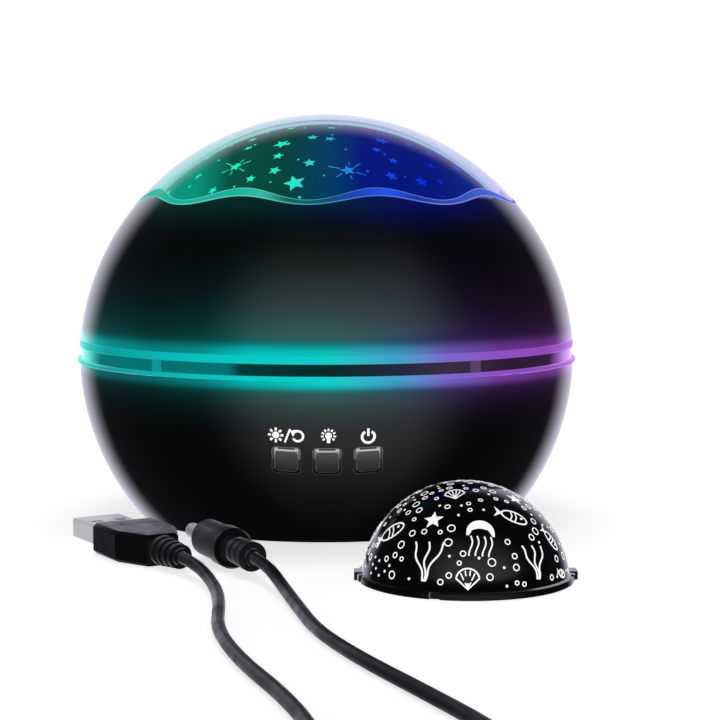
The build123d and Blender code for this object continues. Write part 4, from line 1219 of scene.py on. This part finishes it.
# %% Star dome and its film
DOME_WALL, DOME_FOOT, DOME_TOP, DOME_REACH = 1.2, 50.02, 98.9, 58
FILM_STOPS = [
    (-50, (0.0, 0.62, 0.44)), (-31, (0.0, 0.46, 0.34)), (-23, (0.0, 0.13, 0.09)),
    (-10, (0.0, 0.095, 0.067)), (0.5, (0.0, 0.075, 0.18)), (8.5, (0.0, 0.012, 0.29)),
    (25, (0.0, 0.012, 0.29)), (50, (0.0, 0.06, 0.38)),
]
DOME_FILM = glow_over_x(
    finish("dome_film", (0.002, 0.003, 0.004), 0.4, cloud=0.3, shine=0.0), FILM_STOPS,
    DOME_REACH)
STAR_STOPS = [
    (-50, (0.03, 1.4, 0.9)), (-10, (0.05, 1.4, 0.9)), (-3, (0.05, 1.1, 0.95)),
    (3, (0.04, 0.5, 1.1)), (12, (0.01, 0.12, 1.1)), (25, (0.0, 0.025, 1.1)),
    (50, (0.0, 0.12, 1.1)),
]
STAR_LIGHT = glow_over_x(
    finish("star_light", (0.01, 0.02, 0.02), 0.4, cloud=0.3, shine=0.0), STAR_STOPS,
    DOME_REACH)
dome_out = skin_points(DOME_BALL, 0, DOME_FOOT, DOME_TOP, 56)
dome_in = skin_points(DOME_BALL, DOME_WALL, DOME_FOOT, DOME_TOP - DOME_WALL, 40)
star_dome = turned(
    "star_dome_skin", dome_out[:-1] + [(0, DOME_TOP), (0, DOME_TOP - DOME_WALL)]
    + dome_in[:-1][::-1], "star_dome", "dome_film", DOME_FILM)
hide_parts("star_dome")
print("star dome", len(star_dome.data.polygons), "faces")


# %% Stars scattered by geometry nodes
STAR_DENSITY, STAR_FLOOR, STAR_FILM = 4e5, 52.5, 0.05


def star_field(name, seed, points, gap, smallest, largest, inner, front):
    """Flat stars scattered evenly over the dome behind a front, and wrapped onto it."""
    field = Recipe(name, Seed=seed, Points=points, Gap=gap * MM, Smallest=smallest,
                   Largest=largest, Inner=inner * MM, Radius=(DOME_BALL[1] + 0.06) * MM,
                   Centre=DOME_BALL[0] * MM, Floor=STAR_FLOOR * MM, Front=front * MM,
                   Material=STAR_LIGHT)
    take = field.inputs
    ball = field.first("GeometryNodeMeshIcoSphere", Radius=take["Radius"], Subdivisions=5)
    lift = field.first("ShaderNodeCombineXYZ", Z=take["Centre"])
    ball = field.first("GeometryNodeTransform", Geometry=ball, Translation=lift)
    scatter = field.node("GeometryNodeDistributePointsOnFaces",
                         {"distribute_method": "POISSON"}, Mesh=ball,
                         Distance_Min=take["Gap"], Density_Max=STAR_DENSITY, Seed=take["Seed"])
    place = field.first("GeometryNodeInputPosition")
    axes = field.node("ShaderNodeSeparateXYZ", Vector=place).outputs
    low, drawn = (
        field.first("FunctionNodeCompare", {"operation": "LESS_THAN"}, n0=value, n1=limit)
        for value, limit in ((axes[2], take["Floor"]), (axes[1], take["Front"])))
    spare = field.first("FunctionNodeBooleanMath", {"operation": "OR"}, n0=low, n1=drawn)
    kept = field.first("GeometryNodeDeleteGeometry", {"domain": "POINT"},
                       Geometry=scatter.outputs["Points"], Selection=spare)
    shape = field.first("GeometryNodeCurveStar", Points=take["Points"],
                        Inner_Radius=take["Inner"], Outer_Radius=1.0 * MM)
    shape = field.first("GeometryNodeFillCurve", Curve=shape)
    size, spin = (
        field.node("FunctionNodeRandomValue", {"data_type": "FLOAT"}, Seed=take["Seed"],
                   n2=least, n3=most).outputs[1]
        for least, most in ((take["Smallest"], take["Largest"]), (0.0, 2 * math.pi)))
    around = field.first("ShaderNodeCombineXYZ", Z=spin)
    placed = field.first("GeometryNodeInstanceOnPoints", Points=kept, Instance=shape,
                         Rotation=scatter.outputs["Rotation"])
    placed = field.first("GeometryNodeRotateInstances", Instances=placed, Rotation=around)
    grown = field.first("GeometryNodeScaleInstances", Instances=placed, Scale=size)
    whole = field.first("GeometryNodeRealizeInstances", Geometry=grown)
    from_middle = field.vector("SUBTRACT", n0=field.first("GeometryNodeInputPosition"),
                               n1=lift)
    way = field.vector("NORMALIZE", n0=from_middle)
    out = field.vector("SCALE", n0=way, Scale=take["Radius"])
    back = field.vector("ADD", n0=out, n1=lift)
    wrapped = field.first("GeometryNodeSetPosition", Geometry=whole, Position=back)
    stars = field.finish(wrapped, name, "star_dome", "dome_film")
    body = stars.modifiers.new("thickness", "SOLIDIFY")
    body.thickness = STAR_FILM * MM
    body.offset = 1.0


star_field("large_stars", 7, 5, 9.0, 1.0, 1.9, 0.46, -3.0)
star_field("small_dots", 23, 7, 9.0, 0.25, 0.45, 0.8, -70.0)

# %% Stars drawn one by one on the front
STAR_PLACES = [
    (-28, 49, 1.1), (-20, 52, 1.3), (-11, 47.5, 2.25), (-22, 58, 1.2), (-25, 64, 1.8),
    (-7, 55, 1.3), (-44, 62, 1.0), (-53, 67, 1.0), (-9, 68, 1.15), (2, 67, 1.15),
    (-56, 50, 1.0), (-41, 45, 1.1), (34, 66, 1.6), (25, 61, 1.0), (29, 56, 1.1),
    (24, 50, 1.35), (35, 48, 1.5), (47, 54, 1.0), (44, 48, 0.8), (-66, 73, 1.0),
    (-38, 76, 1.0), (5, 76, 1.0), (-72, 58, 1.1), (52, 64, 1.0), (57, 59, 1.1),
    (65, 53, 1.2), (72, 62, 1.0), (14, 45, 0.9), (60, 44, 1.2), (-68, 44, 1.2),
]
STAR_SPINS = (10, -14, 22, 4, -25)
front_stars = BallPrint((0, 0, DOME_BALL[0]), DOME_BALL[1] + 0.08)
for count, (azimuth, elevation, size) in enumerate(STAR_PLACES):
    front_stars.aim(azimuth, elevation, STAR_SPINS[count % len(STAR_SPINS)])
    front_stars.fill(star(5, size * 1.2, size * 0.55))
front_stars.piece("front_stars", "star_dome", "dome_film", STAR_LIGHT)
print("stars on the front", len(STAR_PLACES))

# %% Stars with long rays
RAYS = ((28, 2.3), (66, 1.7), (146, 2.6), (207, 2.1), (268, 1.8), (326, 2.4))
rays = BallPrint((0, 0, DOME_BALL[0]), DOME_BALL[1] + 0.1)
for azimuth, elevation, size in ((-39, 53.5, 1.75), (8, 52, 1.85), (150, 45, 2.0)):
    rays.aim(azimuth, elevation, 12)
    rays.fill(star(5, size, size * 0.45))
    for turn, length in RAYS:
        rays.line([polar(size * reach, math.radians(turn)) for reach in (1.05, length)],
                  0.22)
rays.piece("ray_stars", "star_dome", "dome_film", STAR_LIGHT)
print("rays on each", len(RAYS))

# %% [markdown]
# ## Spare dome
# The second dome clips onto the same turntable and throws a sea scene. It has a notched
# rim flange and a white print of simple sea things on gloss black. A picture of them
# would be flat and soft, so the print is a raised film that is drawn shape by shape.

# %% Spare dome body
OCEAN_AT = Vector((29.2, -85.0, 0))
OCEAN_BALL, OCEAN_FOOT, OCEAN_TOP = (-1.447, 22.147), 0.02, 20.7
OCEAN_WALL, OCEAN_COLUMNS = 1.0, 160
# The sea ink also glows evenly, a painted brightness that no lamp gives it.
SELF_LIT_SEA_INK = even_glow(finish("sea_ink_painted_glow", (0.85, 0.85, 0.85), 0.45, cloud=0.05), 0.5)
NOTCH = [(1.1, -25), (-1.1, -25), (-1.1, -22.2), (1.1, -22.2)]
EAR = [(2, -21.6), (-2, -21.6), (-2, -23.6), (2, -23.6)]


def rim_blocks(outline, azimuths, low, high):
    """Bars of one outline at the dome's rim, one for each azimuth."""
    blocks = []
    for azimuth in azimuths:
        turn = Matrix.Rotation(math.radians(azimuth), 3, "Z")
        blocks.append(prism(
            outline, lambda x, y, depth: turn @ Vector((x, y, depth)) + OCEAN_AT, low, high))
    return blocks


ocean_out = skin_points(OCEAN_BALL, 0, 1.5, OCEAN_TOP, 44)
ocean_in = skin_points(OCEAN_BALL, OCEAN_WALL, OCEAN_FOOT, OCEAN_TOP - OCEAN_WALL, 30)
flange = [(22.0, OCEAN_FOOT), (22.85, OCEAN_FOOT), (23.0, 0.17), (23.0, 1.25),
          (22.85, 1.4)]
dome_section = (flange + ocean_out[:-1] + [(0, OCEAN_TOP), (0, OCEAN_TOP - OCEAN_WALL)]
                + ocean_in[:-1][::-1])
vertices, faces = swept(lambda turn: dome_section, OCEAN_COLUMNS)
ocean = new_piece("spare_dome_skin", [Vector(v) + OCEAN_AT for v in vertices], faces,
                  "spare_dome", "ocean_print", GLOSS_BLACK)
cut(ocean, rim_blocks(NOTCH, (-78, -20, 78, 160), -1, 3))
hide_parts("ocean_dome")
ears = new_piece("spare_dome_ears", *together(rim_blocks(EAR, (-90, 90), OCEAN_FOOT, 1.8)),
                 "spare_dome", "ocean_print", GLOSS_BLACK)
print("spare dome", len(ocean.data.polygons), "faces and", len(ears.data.polygons))

# %% Shapes of the sea print
sea = BallPrint((OCEAN_AT.x, OCEAN_AT.y, OCEAN_BALL[0]), OCEAN_BALL[1] + 0.01)


def fish(size):
    """A plain fish outline with an eye and a striped side."""
    body = [(size * math.cos(t), size * 0.5 * math.sin(t))
            for t in (2 * math.pi * i / 28 for i in range(28))]
    sea.line(body, 0.34, closed=True)
    sea.fill([(-size * 0.95, 0), (-size * 1.55, size * 0.5), (-size * 1.35, 0),
              (-size * 1.55, -size * 0.5)], middle=(-size * 1.2, 0))
    sea.fill(circle(size * 0.11, 10, size * 0.55, size * 0.12))
    for k in (-0.3, 0.05):
        reach = size * 0.42 * math.sqrt(1 - k * k)
        sea.line([(size * k, -reach), (size * (k + 0.1), 0), (size * k, reach)], 0.28)


def weed(height, lean):
    """Three wavy fronds from one foot."""
    for side in (-1, 0, 1):
        sea.line([(side * 0.55 * t * height / 4 + 0.35 * math.sin(3.2 * t + side) + lean * t,
                   height * t / 3 - height / 2) for t in (i / 5 for i in range(16))], 0.36)


def jelly(size):
    """A round bell with trailing arms."""
    bell = circle(size, 16, 0, 0, 0, math.pi)
    sea.fill(bell + [(-size, -0.25 * size), (size, -0.25 * size)])
    for k in (-0.7, -0.25, 0.25, 0.7):
        sea.line([(size * (k + 0.12 * math.sin(5 * t)), -0.3 * size - size * 1.5 * t)
                  for t in (i / 8 for i in range(9))], 0.3)


def shell(size):
    """A fan shell with ribs."""
    fan = circle(size, 18, 0, 0, math.radians(10), math.radians(170))
    sea.line(fan + [(0, -size * 0.75)], 0.32, closed=True)
    for a in (45, 75, 105, 135):
        sea.line([(0, -size * 0.7), polar(size * 0.85, math.radians(a))], 0.24)


# %% Sea motifs: how each is drawn, azimuth, elevation, spin and reach
MOTIFS = [
    (lambda: sea.fill(star(5, 2.2, 0.95)), -30, 47, 12, 2.6),
    (lambda: jelly(2.9), 6, 40, -6, 5.2), (lambda: fish(3.2), -62, 36, 40, 4.4),
    (lambda: weed(8.2, 0.15), -28, 23, 4, 4.6), (lambda: fish(2.9), 38, 48, -35, 4.0),
    (lambda: shell(2.4), -3, 14, 0, 2.9), (lambda: weed(7.0, -0.15), 40, 21, -8, 4.2),
    (lambda: fish(2.3), 63, 30, -70, 3.2), (lambda: shell(2.1), -20, 68, 20, 2.7),
    (lambda: sea.fill(star(5, 1.9, 0.8)), 62, 60, 25, 2.4),
    (lambda: fish(1.5), 62, 11.5, -20, 2.2), (lambda: jelly(2.2), -92, 32, 10, 4.4),
    (lambda: fish(2.8), 92, 40, 170, 4.0), (lambda: weed(7.0, 0.15), 112, 20, 0, 4.2),
    (lambda: jelly(2.6), 140, 45, 0, 4.8), (lambda: fish(2.8), 175, 30, 0, 4.0),
    (lambda: sea.fill(star(5, 2.4, 1.0)), -150, 50, 0, 2.9),
    (lambda: shell(2.4), -125, 18, 0, 3.0), (lambda: weed(7.0, -0.1), -165, 22, 0, 4.2),
]
taken = []
for draw, azimuth, elevation, spin, reach in MOTIFS:
    sea.aim(azimuth, elevation, spin)
    draw()
    taken.append((sea.out.copy(), reach))
print("sea motifs", len(taken))

# %% Bubbles between the motifs
BUBBLE_THROWS, SMALL_BUBBLE, BUBBLE_SPACE = 1500, 0.4, 0.85
dice = random.Random(11)
for _ in range(BUBBLE_THROWS):
    radius = dice.choice((0.3, 0.42, 0.55, 0.66, 0.78))
    sea.aim(dice.uniform(-180, 180), math.degrees(math.asin(dice.uniform(0.18, 1.0))))
    if all((sea.out - way).length * OCEAN_BALL[1] > reach + radius for way, reach in taken):
        if radius > SMALL_BUBBLE:
            sea.line(circle(radius, 14), 0.23, closed=True)
        else:
            sea.fill(circle(radius, 8))
        taken.append((sea.out.copy(), radius + BUBBLE_SPACE))
sea_print = sea.piece("sea_print", "spare_dome", "ocean_print", SELF_LIT_SEA_INK)
print("bubbles", len(taken) - len(MOTIFS))

# %% [markdown]
# ## Lens over the lamp
# A small clear dome over the lamp's LED spreads the light over the star dome. Its measured
# shape is right, so it only becomes clear.

# %% Lamp lens
lens = smooth_copy("lamp_lens", clear("lens_acrylic", (0.95, 0.96, 0.97), 0.03))
print("lamp lens", len(lens.data.polygons), "faces")

# %% [markdown]
# ## Stage and lights
# The lamp stands in a wide round bowl of pale paper, so every view has the same quiet
# ground. One soft panel hangs overhead. Black gloss shows only what it mirrors, and a real
# room would draw hard shapes on the ball, so a tent of soft light stands round the lamp
# that nothing but gloss can see.

# %% Floor and wall in one sweep
FLOOR_R, BEND_R, BEND_STEPS, WALL_TOP, STAGE_COLUMNS = 2000, 260, 12, 760, 96
paper = even_glow(
    finish("pale_paper", (0.86, 0.86, 0.87), 0.9, cloud=0.01, bump=0.02, shine=0.0), 0.72)
bends = [math.pi / 2 * step / BEND_STEPS for step in range(1, BEND_STEPS + 1)]
profile = [(1, 0), (FLOOR_R, 0)] + [
    (FLOOR_R + BEND_R * math.sin(bend), BEND_R * (1 - math.cos(bend))) for bend in bends
] + [(FLOOR_R + BEND_R, WALL_TOP)]
vertices, faces = swept(lambda turn: profile, STAGE_COLUMNS, closed=False)
faces.append(tuple(range(0, STAGE_COLUMNS * len(profile), len(profile))))
mesh = mesh_of("stage_sweep", vertices, faces, paper)
mesh.shade_smooth()
sweep = added("stage_sweep", mesh)
sweep.visible_glossy = False
print("stage", len(faces), "faces")


# %% Materials that are only light
def light_material(name):
    """A material with its node tree and the emission node that is all of it."""
    material = bpy.data.materials.new(name)
    material.use_nodes = True
    tree = material.node_tree
    tree.nodes.remove(tree.nodes["Principled BSDF"])
    lamp = tree.nodes.new("ShaderNodeEmission")
    tree.links.new(lamp.outputs[0], tree.nodes["Material Output"].inputs["Surface"])
    return material, tree, lamp


# %% Soft panel overhead, in metres
PANEL_PLACE, PANEL_SIZE, PANEL_STRENGTH = Vector((0, 0.15, 1.5)), (1.2, 1.0), 3.0
panel_light, tree, lamp = light_material("top_card")
shares = [maths(tree, "DIVIDE", object_axes(tree)[axis], size / 2)
          for axis, size in zip("XY", PANEL_SIZE)]
fade_x, fade_y = (
    maths(tree, "SUBTRACT", 1.0, maths(tree, "MULTIPLY", share, share), clamp=True)
    for share in shares)
away = maths(tree, "MULTIPLY", fade_x, fade_y)
tree.links.new(maths(tree, "MULTIPLY", away, PANEL_STRENGTH), lamp.inputs["Strength"])
mesh = bpy.data.meshes.new("top_card")
mesh.from_pydata([(x * PANEL_SIZE[0] / 2, y * PANEL_SIZE[1] / 2, 0)
                  for x, y in ((-1, -1), (1, -1), (1, 1), (-1, 1))], [], [(0, 1, 2, 3)])
mesh.materials.append(panel_light)
panel = added("top_card", mesh)
panel.location = PANEL_PLACE
panel.rotation_euler = (-PANEL_PLACE).to_track_quat("-Z", "Y").to_euler()
panel.visible_camera = False
panel.visible_glossy = False
print("panel overhead at", tuple(round(v, 2) for v in panel.location))


# %% Brightness of the tent
def past(tree, value, width, power):
    """How many widths a value is past zero, to a power."""
    share = maths(tree, "MAXIMUM", maths(tree, "DIVIDE", value, width), 0.0)
    return maths(tree, "POWER", share, power)


TENT_MIDDLE, TENT_ASIDE, TENT_UP, TENT_DOWN = (
    math.radians(v) for v in (7, 48, 45.6, 50))
GAP_FROM, GAP_TO = math.radians(10), math.radians(16)
BACK_FROM, BACK_TO, TINT_TO = 0.60, 0.86, 0.3
FRONT_STRENGTH, BACK_FLOOR, BACK_TINT = 0.8, 0.035, (1.05, 1, 1.18, 1)
tent_light, tree, lamp = light_material("tent_light")
place = tree.nodes.new("ShaderNodeTexCoord").outputs["Object"]
way = tree.nodes.new("ShaderNodeVectorMath")
way.operation = "NORMALIZE"
tree.links.new(place, way.inputs[0])
split = tree.nodes.new("ShaderNodeSeparateXYZ")
tree.links.new(way.outputs[0], split.inputs[0])
right, back, up = split.outputs
turn = maths(tree, "ARCTAN2", right, maths(tree, "MULTIPLY", back, -1))
aside = maths(tree, "ABSOLUTE", maths(tree, "SUBTRACT", turn, TENT_MIDDLE))
height = maths(tree, "ARCSINE", up)
below = maths(tree, "MULTIPLY", height, -1)
total = maths(tree, "ADD", maths(tree, "ADD", past(tree, aside, TENT_ASIDE, 4),
                                 past(tree, height, TENT_UP, 3.5)),
              past(tree, below, TENT_DOWN, 3))
fallen = maths(tree, "EXPONENT", maths(tree, "MULTIPLY", total, -1))
front_light = maths(tree, "MULTIPLY", fallen, FRONT_STRENGTH)
gap = mapped(tree, maths(tree, "ABSOLUTE", height), GAP_FROM, GAP_TO, 0, 1, "SMOOTHSTEP")
front_light = maths(tree, "MULTIPLY", front_light, gap)
back_light = mapped(tree, back, BACK_FROM, BACK_TO, BACK_FLOOR, 1.0, "SMOOTHSTEP")
tree.links.new(maths(tree, "ADD", front_light, back_light), lamp.inputs["Strength"])
tint = tree.nodes.new("ShaderNodeMix")
tint.data_type = "RGBA"
tint.inputs["A"].default_value = (1, 1, 1, 1)
tint.inputs["B"].default_value = BACK_TINT
tree.links.new(mapped(tree, back, 0.0, TINT_TO, 0.0, 1.0, "SMOOTHSTEP"),
               tint.inputs["Factor"])
tree.links.new(tint.outputs["Result"], lamp.inputs["Color"])
print("tent light", len(tree.nodes), "nodes")

# %% The tent that only gloss sees, and the dim room
TENT_RADIUS, TENT_HEIGHT = 2.0, 0.04
ROOM_COLOUR, ROOM_STRENGTH = (0.72, 0.74, 0.78, 1), 0.12
soup = bmesh.new()
bmesh.ops.create_icosphere(soup, subdivisions=4, radius=TENT_RADIUS)
mesh = bpy.data.meshes.new("light_tent")
soup.to_mesh(mesh)
soup.free()
mesh.materials.append(tent_light)
tent = added("light_tent", mesh)
tent.location = (0, 0, TENT_HEIGHT)
for way_in in ("camera", "diffuse", "transmission", "volume_scatter", "shadow"):
    setattr(tent, "visible_" + way_in, False)

world = bpy.data.worlds.new("room")
world.use_nodes = True
background = world.node_tree.nodes["Background"].inputs
background["Color"].default_value = ROOM_COLOUR
background["Strength"].default_value = ROOM_STRENGTH
bpy.context.scene.world = world
print("tent", len(mesh.polygons), "faces")

# %% What the gloss does not mirror
# The shells, the ring, the lead and the spare dome stand close together. They are kept out
# of each other's gloss, so that soft light alone draws it.
unmirrored = (cord, *lead_pieces, *ring_pieces, ring_ribs, lower_shell, upper_shell, ocean,
              ears, sea_print)
for piece in unmirrored:
    piece.visible_glossy = False
print("pieces that gloss does not mirror", len(unmirrored))
